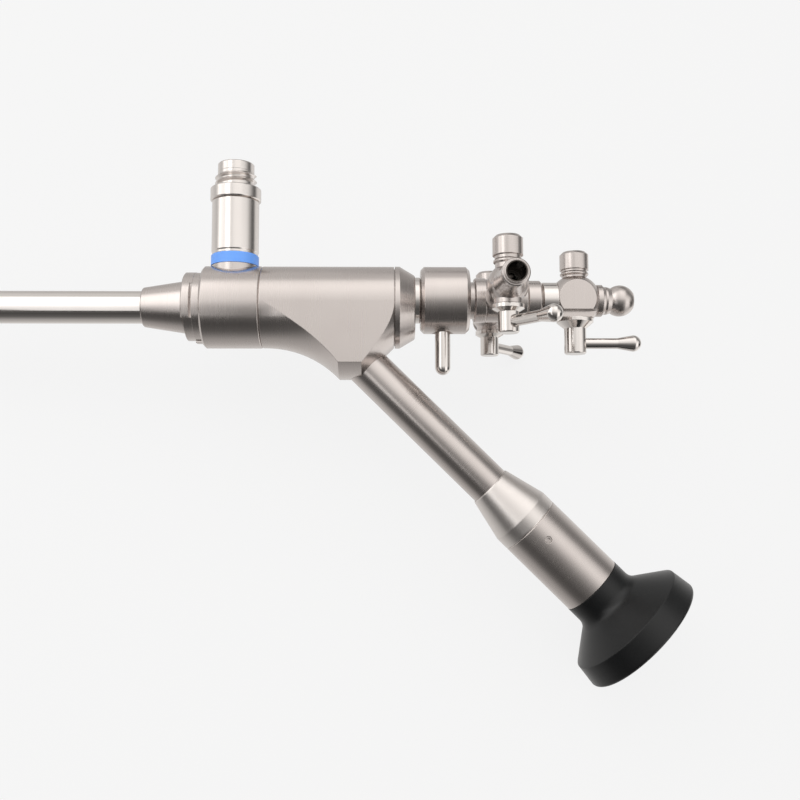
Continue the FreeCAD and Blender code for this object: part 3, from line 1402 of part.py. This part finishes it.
# Interfaces, in millimetres in the row's frame
row = centred.multiply(laid)
for name, spot, axis in [
    ("shaft", Vector(plain(tip + cone_front) / 2, 0, 0), Vector(-1, 0, 0)),
    ("instrument_port", Vector(plain(ball_centre), 0, plain(size["channel_rise"])), Vector(1, 0, 0)),
    ("light_post", Vector(plain(size["post_station"]), 0, plain(post_top)), Vector(0, 0, 1)),
    ("left_port", left_frame.multVec(Vector(plain(size["port_reach"]), 0, 0)), Vector(0, -1, 0)),
    ("right_port", right_frame.multVec(Vector(plain(size["port_reach"]), 0, 0)), Vector(0, 1, 0)),
    ("eyepiece", ocular_frame.multVec(Vector(plain(rim_end), 0, 0)), ocular_turn.multVec(Vector(1, 0, 0))),
    ("key_axis", tail_frame.Base, Vector(0, 0, 1)),
    ("left_key", left_frame.Base, Vector(0, 0, 1)),
    ("right_key", right_frame.Base, Vector(0, 0, 1)),
]:
    place = row.multVec(spot)
    direction = row.Rotation.multVec(axis)
    print("%s at (%.4f, %.4f, %.4f) along (%.6f, %.6f, %.6f)"
          % ((name,) + tuple(place) + tuple(direction)))
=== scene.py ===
import json
import math

import bmesh
import bpy
from mathutils import Matrix, Vector


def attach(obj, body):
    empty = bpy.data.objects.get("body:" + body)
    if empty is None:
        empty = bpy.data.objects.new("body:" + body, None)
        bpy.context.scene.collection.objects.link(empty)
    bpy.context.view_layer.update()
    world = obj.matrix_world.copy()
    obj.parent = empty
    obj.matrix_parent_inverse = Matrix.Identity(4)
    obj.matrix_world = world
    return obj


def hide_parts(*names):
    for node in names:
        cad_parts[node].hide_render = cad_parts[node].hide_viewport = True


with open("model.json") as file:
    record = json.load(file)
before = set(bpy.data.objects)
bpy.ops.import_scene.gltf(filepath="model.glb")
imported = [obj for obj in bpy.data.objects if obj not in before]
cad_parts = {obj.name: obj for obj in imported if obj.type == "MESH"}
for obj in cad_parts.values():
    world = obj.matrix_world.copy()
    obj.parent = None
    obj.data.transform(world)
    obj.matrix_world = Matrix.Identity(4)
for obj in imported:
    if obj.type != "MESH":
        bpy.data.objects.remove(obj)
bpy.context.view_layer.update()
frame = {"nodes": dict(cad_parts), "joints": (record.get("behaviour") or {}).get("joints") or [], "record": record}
bpy.ops.object.select_all(action="DESELECT")


# How the instrument lies
# It lies on its right side on a table. Every place below is given along three directions of the
# instrument itself: back to the taps, right, and up to the light post, in millimetres from the
# point where the shaft's axis meets the front face of the housing.

MM = 0.001
LOCK_RING_WIDTH = 4.4
joints = {joint["name"]: joint for joint in frame["joints"]}
mounts = {mount["name"]: mount for mount in frame["record"]["mounts"]}
back = Vector(joints["collar_turn"]["axis"]).normalized()
up = Vector(joints["axial_tap_turn"]["axis"]).normalized()
right = up.cross(back)
datum = Vector(mounts["lock_ring"]["pos_m"]) + back * LOCK_RING_WIDTH * MM


def place(along, across, above):
    """A point given in the instrument's own millimetres."""
    return datum + (back * along + right * across + up * above) * MM


# Camera and studio
# The picture was taken square onto the instrument's left side, a little from below, in a light
# tent: a long softbox above, a dark gap towards the eyepiece, and white paper all round.

CAMERA_AWAY = 229.7
CAMERA_PITCH = math.radians(5.0)
CAMERA_YAW = math.radians(1.07)
CAMERA_AIM = (47.32, -22.55)
PIXELS_WIDE = 800.0
FOCAL_PIXELS = 950.0
SENSOR = 36.0
pitched = right * math.cos(CAMERA_PITCH) + up * math.sin(CAMERA_PITCH)
lens_up = up * math.cos(CAMERA_PITCH) - right * math.sin(CAMERA_PITCH)
sight = pitched * math.cos(CAMERA_YAW) + back * math.sin(CAMERA_YAW)
lens_side = back * math.cos(CAMERA_YAW) - pitched * math.sin(CAMERA_YAW)
eye = place(CAMERA_AIM[0], 0, CAMERA_AIM[1]) - sight * CAMERA_AWAY * MM
camera_data = bpy.data.cameras.new("camera")
camera_data.sensor_width = SENSOR
camera_data.lens = SENSOR * FOCAL_PIXELS / PIXELS_WIDE
camera_data.clip_start = 0.01
camera_data.clip_end = 20.0
camera = bpy.data.objects.new("camera", camera_data)
bpy.context.collection.objects.link(camera)
lens_turn = Matrix((lens_side, lens_up, -sight)).transposed().to_4x4()
camera.matrix_world = Matrix.Translation(eye) @ lens_turn
bpy.context.scene.camera = camera
bpy.context.scene.view_settings.view_transform = "Standard"


def linear(code, alpha=1.0):
    """An sRGB colour such as #c8c2be as the linear values that a shader takes."""
    values = []
    for start in (1, 3, 5):
        level = int(code[start:start + 2], 16) / 255.0
        values.append(level / 12.92 if level <= 0.04045 else ((level + 0.055) / 1.055) ** 2.4)
    return (*values, alpha)


def add_node(tree, kind, inputs=None, **settings):
    """Adds one node, with its settings, and sets or links its inputs by name or number."""
    made = tree.nodes.new("ShaderNode" + kind)
    for name, value in settings.items():
        setattr(made, name, value)
    for socket, value in (inputs or {}).items():
        if isinstance(value, bpy.types.NodeSocket):
            tree.links.new(value, made.inputs[socket])
        else:
            made.inputs[socket].default_value = value
    return made


# What the steel mirrors. Each pair is a direction in degrees from straight up and how bright the
# tent is there: across the instrument towards the light post, the same past the taps, where a white
# panel stands lower, and along the instrument. The last one says where that panel stands. The levels
# come from how bright the steel is along some lines of the photograph
TENT_ACROSS = [(-165, 0.85), (-145, 0.66), (-123, 0.5), (-106, 0.26), (-92, 0.12), (-70, 0.08), (-52, 0.14),
               (-38, 0.25), (-25, 0.42), (-14, 0.76), (-4, 1.08), (12, 1.25), (36, 1.52), (55, 1.40),
               (62, 0.80), (90, 0.70), (120, 0.62), (150, 0.85)]
PANEL_ACROSS = [(-150, 1.1), (-127, 0.85), (-100, 0.7), (-81, 0.92), (-63, 1.35), (-30, 1.45), (-12, 1.27),
                (5, 1.1), (21, 0.9), (40, 0.32), (60, 0.24), (83, 0.36), (117, 0.68), (150, 0.9)]
TENT_ALONG = [(-180, 0.9), (-95, 1.0), (-80, 1.15), (-38, 1.0), (-22, 0.84), (-13, 0.84), (-6, 1.0),
              (8, 1.04), (30, 1.0), (50, 0.9), (62, 0.7), (74, 0.3), (95, 0.16), (112, 0.5), (140, 0.9)]
PANEL_PLACE = [(24, 0.0), (34, 1.0), (60, 1.0), (68, 0.0)]
PAPER_WHITE = linear("#f5f5f5")
world = bpy.data.worlds.new("light tent")
bpy.context.scene.world = world
world.use_nodes = True
sky = world.node_tree
sky.nodes.clear()
direction = add_node(sky, "TexCoord")
parts = add_node(sky, "SeparateXYZ", {0: direction.outputs["Generated"]})
turned = {side: add_node(sky, "Math", {0: parts.outputs[side], 1: parts.outputs["Z"]}, operation="ARCTAN2")
          for side in ("X", "Y")}
turned["panel"] = add_node(sky, "Math", {0: parts.outputs["X"]}, operation="ARCSINE")
levels = []
for stops, side in ((TENT_ACROSS, "Y"), (TENT_ALONG, "X"), (PANEL_ACROSS, "Y"), (PANEL_PLACE, "panel")):
    spread = add_node(sky, "MapRange", {"Value": turned[side].outputs[0], "From Min": -math.pi,
                                        "From Max": math.pi})
    ramp = add_node(sky, "ValToRGB", {"Fac": spread.outputs[0]})
    bands = ramp.color_ramp.elements
    while len(bands) < len(stops):
        bands.new(0.5)
    brightest = max(level for angle, level in stops)
    # Places first and colours after, because a ramp sorts its stops as they move
    for band, (angle, level) in zip(bands, stops):
        band.position = (angle + 180) / 360
    for band, (angle, level) in zip(bands, stops):
        band.color = (level / brightest, level / brightest, level / brightest, 1)
    levels.append(add_node(sky, "Math", {0: ramp.outputs["Color"], 1: brightest}, operation="MULTIPLY"))
tent_across, tent_along, panel_across, panel_place = levels
tent_level = add_node(sky, "Math", {0: tent_across.outputs[0], 1: tent_along.outputs[0]},
                      operation="MULTIPLY")
glow = add_node(sky, "Mix", {"Factor": panel_place.outputs[0], "A": tent_level.outputs[0],
                             "B": panel_across.outputs[0]})
tent = add_node(sky, "Background", {"Color": linear("#fffdfb"), "Strength": glow.outputs["Result"]})
paper = add_node(sky, "Background", {"Color": PAPER_WHITE, "Strength": 1.0})
rays = add_node(sky, "LightPath")
seen = add_node(sky, "MixShader", {0: rays.outputs["Is Camera Ray"], 1: tent.outputs[0],
                                   2: paper.outputs[0]})
add_node(sky, "OutputWorld", {"Surface": seen.outputs[0]})

# The table is white paper. The camera sees it at its own colour, with a little of the shadow left in.
# Steel mirrors the lower half of the tent in place of it
TABLE_SIZE = 6.0
TABLE_DROP = 0.2
TABLE_GLOW = 0.93
TABLE_WHITE = linear("#ececec")
bpy.ops.mesh.primitive_plane_add(size=TABLE_SIZE, location=(0, 0, -TABLE_DROP * MM))
floor = bpy.context.object
floor.name = "table"
table_top = bpy.data.materials.new("white paper table")
table_top.use_nodes = True
tree = table_top.node_tree
tree.nodes.clear()
rays = add_node(tree, "LightPath")
looks = add_node(tree, "Math", {0: rays.outputs["Is Camera Ray"], 1: rays.outputs["Is Transmission Ray"]},
                 operation="MAXIMUM")
share = add_node(tree, "Math", {0: looks.outputs[0], 1: TABLE_GLOW}, operation="MULTIPLY")
matt = add_node(tree, "BsdfDiffuse", {"Color": TABLE_WHITE})
bright = add_node(tree, "Emission", {"Color": PAPER_WHITE, "Strength": 1.0})
mixed = add_node(tree, "MixShader", {0: share.outputs[0], 1: matt.outputs[0], 2: bright.outputs[0]})
tent_below = add_node(tree, "BsdfTransparent")
mirrored = add_node(tree, "MixShader", {0: rays.outputs["Is Glossy Ray"], 1: mixed.outputs[0],
                                        2: tent_below.outputs[0]})
add_node(tree, "OutputMaterial", {"Surface": mirrored.outputs[0]})
floor.data.materials.append(table_top)
floor.select_set(False)

# Each lamp's place, what it points at and its two sides, in metres; its watts; and whether the steel
# mirrors it
HOUSING_PLACE = (0.05, 0, 0.03)
LAMPS = (
    ("softbox", (-0.25, 0.35, 0.75), HOUSING_PLACE, 0.5, 0.5, 1.6, False),
    ("strip", (0.55, 0.30, 0.45), HOUSING_PLACE, 0.25, 0.25, 0.5, False),
    ("panel over the shaft", (-0.0725, 0.031, 0.234), (-0.0725, 0.031, 0), 0.105, 0.494, 0.145, True),
)
for name, spot, target, wide, deep, watts, mirrored in LAMPS:
    lamp = bpy.data.lights.new(name, "AREA")
    lamp.shape = "RECTANGLE"
    lamp.size = wide
    lamp.size_y = deep
    lamp.energy = watts
    holder = bpy.data.objects.new(name, lamp)
    bpy.context.collection.objects.link(holder)
    holder.location = spot
    holder.rotation_euler = (Vector(target) - holder.location).to_track_quat("-Z", "Y").to_euler()
    holder.visible_camera = False
    holder.visible_glossy = mirrored


# Satin and polished stainless steel
# The housings, tubes, caps and taps are turned from stainless bar, then rubbed satin round their
# axis. Fine rings round each piece spread the light along it, and edges are broken by hand.


def axes_at(point, along, sideways):
    """The turn and shift that bring a mesh made at the origin, with its axis on X, to a place."""
    first = along.normalized()
    third = first.cross(sideways).normalized()
    second = third.cross(first)
    return Matrix.Translation(point) @ Matrix((first, second, third)).transposed().to_4x4()


# Each finish: its darker and lighter grey, how rough it is, the gap of its turning marks in
# millimetres and their depth in micrometres. Satin spreads a light into a soft band along the piece
SATIN = {"low": "#c8c0bc", "high": "#cfc8c4", "rough": 0.26, "ring_gap": 0.35, "ring_depth": 0.8}
# Fine satin is paler and keeps the band's edges. The cone's satin is softer, so its lights run wide
FINE_SATIN = {"low": "#ddd7d3", "high": "#e4dfdb", "rough": 0.20, "ring_gap": 0.35, "ring_depth": 1.0}
CONE_SATIN = {"low": "#dcd6d2", "high": "#e2ddd9", "rough": 0.34, "ring_gap": 0.35, "ring_depth": 1.0}
# Polished steel mirrors the tent with crisp edges
POLISHED = {"low": "#dad4d0", "high": "#e2ddd9", "rough": 0.12, "ring_gap": 0.3, "ring_depth": 0.8}
# The ports are satin with deeper marks and painted shade inside the radius of their bore, in millimetres
PORT = {**SATIN, "ring_depth": 1.4, "bore": 2.35}
# The dark grey painted inside the bore as its shade, and how far in millimetres that painted shade fades out
BORE_PAINTED_SHADE = "#4a4541"
BORE_SHADE_FADE = 0.05
# A mark runs sixty gaps round its piece, and is up to 7 % rougher or smoother than the rest. Clouds
# of paler grey are 9 mm across, and edges are broken by 0.2 mm
MARK_LENGTH = 60
MARK_SPREAD = 0.07
CLOUD_SIZE = 9.0
BROKEN_EDGE = 0.2
STRETCH = 0.3


def turned_steel(name, point, axis, low, high, rough, ring_gap, ring_depth, bore=0.0):
    """Stainless steel with turning marks round an axis."""
    made = bpy.data.materials.new(name)
    made.use_nodes = True
    tree = made.node_tree
    tree.nodes.clear()
    sideways = up if abs(axis.dot(up)) < 0.9 else back
    to_piece = axes_at(point, axis, sideways).inverted()
    where = add_node(tree, "TexCoord")
    on_piece = add_node(tree, "Mapping", {
        "Vector": where.outputs["Object"],
        "Location": to_piece.to_translation(),
        "Rotation": to_piece.to_euler(),
    })
    ring_scale = 1 / (ring_gap * MM)
    rings = add_node(tree, "Mapping", {
        "Vector": on_piece.outputs[0],
        "Scale": (ring_scale, ring_scale / MARK_LENGTH, ring_scale / MARK_LENGTH),
    })
    marks = add_node(tree, "TexNoise", {"Vector": rings.outputs[0], "Scale": 1.0, "Detail": 2.0})
    clouds = add_node(tree, "TexNoise", {"Vector": on_piece.outputs[0], "Scale": 1 / (CLOUD_SIZE * MM),
                                         "Detail": 2.0})
    grey = add_node(tree, "Mix", {"Factor": clouds.outputs[0], "A": linear(low), "B": linear(high)},
                    data_type="RGBA")
    # Painted shade: inside the bore's radius the grey turns dark, for the shade in the hole
    if bore:
        spots = add_node(tree, "SeparateXYZ", {0: on_piece.outputs[0]})
        flat_spot = add_node(tree, "CombineXYZ", {"Y": spots.outputs["Y"], "Z": spots.outputs["Z"]})
        radius = add_node(tree, "VectorMath", {0: flat_spot.outputs[0]}, operation="LENGTH")
        outside_painted_shade = add_node(tree, "MapRange", {
            "Value": radius.outputs["Value"],
            "From Min": (bore - BORE_SHADE_FADE) * MM,
            "From Max": (bore + BORE_SHADE_FADE) * MM,
        })
        grey = add_node(tree, "Mix", {"Factor": outside_painted_shade.outputs[0], "A": linear(BORE_PAINTED_SHADE),
                                      "B": grey.outputs["Result"]}, data_type="RGBA")
    gloss = add_node(tree, "MapRange", {
        "Value": marks.outputs[0],
        "From Min": 0.3,
        "From Max": 0.7,
        "To Min": rough * (1 - MARK_SPREAD),
        "To Max": rough * (1 + MARK_SPREAD),
    })
    soft_edge = add_node(tree, "Bevel", {"Radius": BROKEN_EDGE * MM}, samples=6)
    relief = add_node(tree, "Bump", {"Height": marks.outputs[0], "Strength": 1.0,
                                     "Distance": ring_depth * MM * MM,
                                     "Normal": soft_edge.outputs[0]})
    along = add_node(tree, "VectorTransform", {0: axis}, vector_type="VECTOR", convert_from="OBJECT",
                     convert_to="WORLD")
    shader = add_node(tree, "BsdfPrincipled", {"Base Color": grey.outputs["Result"], "Metallic": 1.0,
                                               "Roughness": gloss.outputs[0], "Anisotropic": STRETCH,
                                               "Tangent": along.outputs[0], "Normal": relief.outputs[0]})
    add_node(tree, "OutputMaterial", {"Surface": shader.outputs[0]})
    return made


def dress(material, *names):
    """Gives CAD nodes their finish."""
    for name in names:
        for holder in frame["nodes"][name].material_slots:
            holder.material = material


def satin(name, point, axis, *nodes):
    """Gives nodes that were turned round one axis a satin finish of their own."""
    dress(turned_steel(name, point, axis, **SATIN), *nodes)


def polished(name, point, axis, *nodes):
    """Gives nodes that were turned round one axis a polish of their own."""
    dress(turned_steel(name, point, axis, **POLISHED), *nodes)


CHANNEL_RISE = 1.8
shaft_centre = place(0, 0, 0)
channel_centre = place(0, 0, CHANNEL_RISE)
polished("polished stainless shaft", shaft_centre, back, "sheath_tube", "channel_tube", "optic_tube")
satin("satin stainless housings", shaft_centre, back, "nose_cone", "lock_ring", "front_housing",
      "main_housing", "rear_cap")
satin("satin stainless tap line", channel_centre, back, "locking_collar", "tap_manifold",
      "coupling_sleeve", "axial_tap_body", "tail_ring", "ball_port")
polished("polished stainless tap line", channel_centre, back, "rear_socket", "coupling_ring")

POST_PLACE = 7.1
post_centre = place(POST_PLACE, 0, 0)
light_post_steel = turned_steel("fine satin stainless light post", post_centre, up, **FINE_SATIN)
dress(light_post_steel, "post_sleeve", "post_nut", "post_cap")

OCULAR_PLACE = 24.8
OCULAR_SLOPE = math.radians(44.5)
ocular_way = back * math.cos(OCULAR_SLOPE) - up * math.sin(OCULAR_SLOPE)
ocular_centre = place(OCULAR_PLACE, 0, 0)
satin("satin stainless eyepiece", ocular_centre, ocular_way, "ocular_tube", "ocular_barrel",
      "barrel_screw", "window_ring")
dress(turned_steel("fine satin stainless cone", ocular_centre, ocular_way, **CONE_SATIN), "ocular_cone")

COLLAR_PIN_PLACE = 57.95
polished("polished stainless pin", place(COLLAR_PIN_PLACE, 0, 0), -up, "collar_pin")

LEFT_LEVER_TURN = math.radians(35.0)
RIGHT_LEVER_TURN = math.radians(38.0)
for side, out, turn in (("left", -right, LEFT_LEVER_TURN), ("right", right, RIGHT_LEVER_TURN)):
    centre = Vector(joints[side + "_tap_turn"]["pos_m"])
    satin("satin stainless %s tap" % side, centre, out, side + "_tap_body")
    # Each port's bore is painted dark, as painted shade in the hole
    dress(turned_steel("satin stainless %s port, dull in its bore" % side, centre, out, **PORT),
          side + "_water_port")
    satin("satin stainless %s cap" % side, centre, up, side + "_tap_cap", side + "_tap_washer",
          side + "_tap_spring")
    polished("polished stainless %s key" % side, centre, up, side + "_tap_key")
    lever_way = out * math.cos(turn) + back * math.sin(turn)
    polished("polished stainless %s lever" % side, centre, lever_way, side + "_tap_lever")
axial_centre = Vector(joints["axial_tap_turn"]["pos_m"])
satin("satin stainless axial cap", axial_centre, up, "axial_tap_cap", "axial_tap_washer",
      "axial_tap_spring")
polished("polished stainless axial key", axial_centre, up, "axial_tap_key")
polished("polished stainless axial lever", axial_centre, back, "axial_tap_lever")


# Light post thread
# The adapter above the ring nut carries a coarse thread of two turns for the light cable's fitting.
# It is turned from one stainless piece with its spigot, and the fibres run through its bore.

THREAD_ROOT = 4.45
THREAD_CREST = 5.08
THREAD_FOOT = 29.4
THREAD_TOP = 33.4
THREAD_PITCH = 1.3
THREAD_TURNS = 2
RIDGE_START = 0.55
RIDGE_FLATNESS = 0.8
RIDGE_STEPS = 72
SPIGOT_RADIUS = 4.0
SPIGOT_FOOT = 23.8
FIBRE_BORE = 2.42
CORE_SIDES = 96
bpy.ops.mesh.primitive_cylinder_add(vertices=CORE_SIDES, radius=THREAD_ROOT * MM,
                                    depth=(THREAD_TOP - THREAD_FOOT) * MM,
                                    location=(0, 0, (THREAD_TOP + THREAD_FOOT) / 2 * MM))
thread = bpy.context.object
thread.name = "post_thread"
bpy.ops.object.transform_apply(location=True, rotation=False, scale=False)
bpy.ops.object.mode_set(mode="EDIT")
bpy.ops.mesh.select_mode(type="FACE")
bpy.ops.mesh.select_all(action="DESELECT")
shape = bmesh.from_edit_mesh(thread.data)
for face in shape.faces:
    face.select_set(face.normal.z < -0.9)
bmesh.update_edit_mesh(thread.data)
bpy.ops.mesh.inset(thickness=(THREAD_ROOT - SPIGOT_RADIUS) * MM)
bpy.ops.mesh.extrude_region_move(TRANSFORM_OT_translate={"value": (0, 0, (SPIGOT_FOOT - THREAD_FOOT) * MM)})
shape = bmesh.from_edit_mesh(thread.data)
for end_side, ring in ((-1, SPIGOT_RADIUS), (1, THREAD_ROOT)):
    for face in shape.faces:
        face.select_set(face.normal.z * end_side > 0.9 and len(face.verts) == CORE_SIDES)
    bmesh.update_edit_mesh(thread.data)
    bpy.ops.mesh.inset(thickness=(ring - FIBRE_BORE) * MM)
    shape = bmesh.from_edit_mesh(thread.data)
for face in shape.faces:
    face.select_set(len(face.verts) == CORE_SIDES)
bmesh.update_edit_mesh(thread.data)
bpy.ops.mesh.bridge_edge_loops()
bpy.ops.object.mode_set(mode="OBJECT")
thread.select_set(False)

bpy.ops.mesh.primitive_circle_add(vertices=4, radius=(THREAD_CREST - THREAD_ROOT) * MM,
                                  fill_type="NOTHING", rotation=(math.pi / 2, 0, 0))
ridge = bpy.context.object
bpy.ops.object.transform_apply(location=False, rotation=True, scale=False)
bpy.ops.object.mode_set(mode="EDIT")
bpy.ops.mesh.select_all(action="SELECT")
bpy.ops.transform.resize(value=(1, 1, RIDGE_FLATNESS))
bpy.ops.transform.translate(value=(THREAD_ROOT * MM, 0, (THREAD_FOOT + RIDGE_START) * MM))
bpy.ops.object.mode_set(mode="OBJECT")
winding = ridge.modifiers.new("thread", "SCREW")
winding.axis = "Z"
winding.angle = 2 * math.pi
winding.screw_offset = THREAD_PITCH * MM
winding.iterations = THREAD_TURNS
winding.steps = RIDGE_STEPS
winding.render_steps = RIDGE_STEPS
bpy.ops.object.modifier_apply(modifier="thread")
bpy.ops.object.mode_set(mode="EDIT")
bpy.ops.mesh.select_all(action="SELECT")
bpy.ops.mesh.fill_holes(sides=4)
bpy.ops.mesh.normals_make_consistent(inside=False)
bpy.ops.object.mode_set(mode="OBJECT")
thread.select_set(True)
bpy.context.view_layer.objects.active = thread
bpy.ops.object.join()
thread.matrix_world = Matrix.Translation(post_centre) @ Matrix((back, right, up)).transposed().to_4x4()
bpy.ops.object.transform_apply(location=True, rotation=True, scale=False)
bpy.ops.object.shade_smooth_by_angle(angle=math.radians(30))
thread.data.materials.append(light_post_steel)
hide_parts("post_adapter")
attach(thread, "instrument")
thread.select_set(False)


# Blue colour ring
# The ring under the light post tells the instrument's size at a glance. It is moulded from dyed
# nylon, clipped over the boss, and held by the post.

RING_BLUE = "#5f9df8"
RING_PALE = "#74aaf9"
DYE_MOTTLE = 2.5
MOULD_GRAIN = 0.12
nylon = bpy.data.materials.new("dyed nylon, even and slightly waxy")
nylon.use_nodes = True
tree = nylon.node_tree
tree.nodes.clear()
where = add_node(tree, "TexCoord")
mottle = add_node(tree, "TexNoise", {"Vector": where.outputs["Object"], "Scale": 1 / (DYE_MOTTLE * MM),
                                     "Detail": 3.0})
grain = add_node(tree, "TexNoise", {"Vector": where.outputs["Object"], "Scale": 1 / (MOULD_GRAIN * MM),
                                    "Detail": 2.0})
dye = add_node(tree, "Mix", {"Factor": mottle.outputs[0], "A": linear(RING_BLUE), "B": linear(RING_PALE)},
               data_type="RGBA")
waxy = add_node(tree, "MapRange", {"Value": mottle.outputs[0], "To Min": 0.38, "To Max": 0.52})
skin = add_node(tree, "Bump", {"Height": grain.outputs[0], "Strength": 1.0, "Distance": 2.0 * MM * MM})
shader = add_node(tree, "BsdfPrincipled", {"Base Color": dye.outputs["Result"], "Roughness": waxy.outputs[0],
                                           "IOR": 1.53, "Normal": skin.outputs[0]})
add_node(tree, "OutputMaterial", {"Surface": shader.outputs[0]})
dress(nylon, "colour_ring")


# Eyecup
# The black cup at the eyepiece clips into a camera coupler. It is turned from black PEEK plastic,
# with a fine matt skin that shines a little where it turns away from the eye.

CUP_BLACK = "#0b0c0d"
CUP_GREY = "#151617"
CUP_RING_GAP = 0.3
CUP_RING_LENGTH = 15.0
HANDLING_MARKS = 7.0
CUP_EDGE = 0.3
peek = bpy.data.materials.new("turned black PEEK, satin with fine turning rings")
peek.use_nodes = True
tree = peek.node_tree
tree.nodes.clear()
to_cup = axes_at(ocular_centre, ocular_way, right).inverted()
where = add_node(tree, "TexCoord")
on_cup = add_node(tree, "Mapping", {"Vector": where.outputs["Object"], "Location": to_cup.to_translation(),
                                    "Rotation": to_cup.to_euler()})
turning = add_node(tree, "Mapping", {"Vector": on_cup.outputs[0],
                                     "Scale": (1 / (CUP_RING_GAP * MM), 1 / (CUP_RING_LENGTH * MM),
                                               1 / (CUP_RING_LENGTH * MM))})
rings = add_node(tree, "TexNoise", {"Vector": turning.outputs[0], "Scale": 1.0, "Detail": 2.0})
handling = add_node(tree, "TexNoise", {"Vector": on_cup.outputs[0], "Scale": 1 / (HANDLING_MARKS * MM),
                                       "Detail": 3.0})
black = add_node(tree, "Mix", {"Factor": handling.outputs[0], "A": linear(CUP_BLACK), "B": linear(CUP_GREY)},
                 data_type="RGBA")
sheen = add_node(tree, "MapRange", {"Value": handling.outputs[0], "From Min": 0.3, "From Max": 0.7,
                                    "To Min": 0.30, "To Max": 0.36})
edge = add_node(tree, "Bevel", {"Radius": CUP_EDGE * MM}, samples=6)
relief = add_node(tree, "Bump", {"Height": rings.outputs[0], "Strength": 1.0, "Distance": 3.0 * MM * MM,
                                 "Normal": edge.outputs[0]})
shader = add_node(tree, "BsdfPrincipled", {"Base Color": black.outputs["Result"],
                                           "Roughness": sheen.outputs[0], "IOR": 1.43,
                                           "Normal": relief.outputs[0]})
add_node(tree, "OutputMaterial", {"Surface": shader.outputs[0]})
dress(peek, "eyecup")


# Windows, lens and prism
# The windows at the tip, the light post and the eyepiece are sapphire and optical glass with a
# coating that mirrors a faint green. They are soldered or cemented into their seats.

COATING = "#dfeee6"
SMEAR_SIZE = 1.5
glass = bpy.data.materials.new("coated optical glass, faint green")
glass.use_nodes = True
tree = glass.node_tree
tree.nodes.clear()
where = add_node(tree, "TexCoord")
smear = add_node(tree, "TexNoise", {"Vector": where.outputs["Object"], "Scale": 1 / (SMEAR_SIZE * MM),
                                    "Detail": 3.0})
wiped = add_node(tree, "MapRange", {"Value": smear.outputs[0], "From Min": 0.35, "From Max": 0.75,
                                    "To Min": 0.02, "To Max": 0.07})
shader = add_node(tree, "BsdfPrincipled", {"Base Color": linear(COATING), "Roughness": wiped.outputs[0],
                                           "IOR": 1.6, "Transmission Weight": 0.85})
add_node(tree, "OutputMaterial", {"Surface": shader.outputs[0]})
dress(glass, "tip_window", "light_window", "prism", "ocular_lens", "eyepiece_window")


# Seals
# The O-ring and gaskets are dark grey silicone rubber, moulded and slightly dusty, and they are
# squeezed between the steel pieces.

DUST_SIZE = 0.8
SEAL_DARK = "#2a2b2d"
SEAL_DUSTY = "#46474a"
silicone = bpy.data.materials.new("moulded silicone rubber, dull grey")
silicone.use_nodes = True
tree = silicone.node_tree
tree.nodes.clear()
where = add_node(tree, "TexCoord")
dust = add_node(tree, "TexNoise", {"Vector": where.outputs["Object"], "Scale": 1 / (DUST_SIZE * MM),
                                   "Detail": 4.0})
tone = add_node(tree, "Mix", {"Factor": dust.outputs[0], "A": linear(SEAL_DARK), "B": linear(SEAL_DUSTY)},
                data_type="RGBA")
dull = add_node(tree, "MapRange", {"Value": dust.outputs[0], "To Min": 0.55, "To Max": 0.75})
skin = add_node(tree, "Bump", {"Height": dust.outputs[0], "Strength": 1.0, "Distance": 6.0 * MM * MM})
shader = add_node(tree, "BsdfPrincipled", {"Base Color": tone.outputs["Result"], "Roughness": dull.outputs[0],
                                           "IOR": 1.43, "Normal": skin.outputs[0]})
add_node(tree, "OutputMaterial", {"Surface": shader.outputs[0]})
dress(silicone, "rear_seal", "socket_gasket", "port_seal")


# Light fibres
# Thousands of glass fibres, cut and polished flat at both ends, carry the light to the tip. Each is
# about 0.05 mm thick; the cells are drawn four times as coarse so that they show.

FIBRE_CELL = 0.2
FIBRE_CORE = "#d9d4c4"
FIBRE_GAP = "#6d675a"
fibres = bpy.data.materials.new("polished glass fibre ends")
fibres.use_nodes = True
tree = fibres.node_tree
tree.nodes.clear()
where = add_node(tree, "TexCoord")
cells = add_node(tree, "TexVoronoi", {"Vector": where.outputs["Object"], "Scale": 1 / (FIBRE_CELL * MM)})
cell_tone = add_node(tree, "MapRange", {"Value": cells.outputs["Distance"], "From Max": 0.6})
ends = add_node(tree, "Mix", {"Factor": cell_tone.outputs[0], "A": linear(FIBRE_CORE),
                              "B": linear(FIBRE_GAP)}, data_type="RGBA")
hollow = add_node(tree, "Bump", {"Height": cells.outputs["Distance"], "Strength": 1.0,
                                 "Distance": 4.0 * MM * MM}, invert=True)
shader = add_node(tree, "BsdfPrincipled", {"Base Color": ends.outputs["Result"], "Roughness": 0.2,
                                           "IOR": 1.55, "Normal": hollow.outputs[0]})
add_node(tree, "OutputMaterial", {"Surface": shader.outputs[0]})
dress(fibres, "fibre_bundle", "post_fibres")
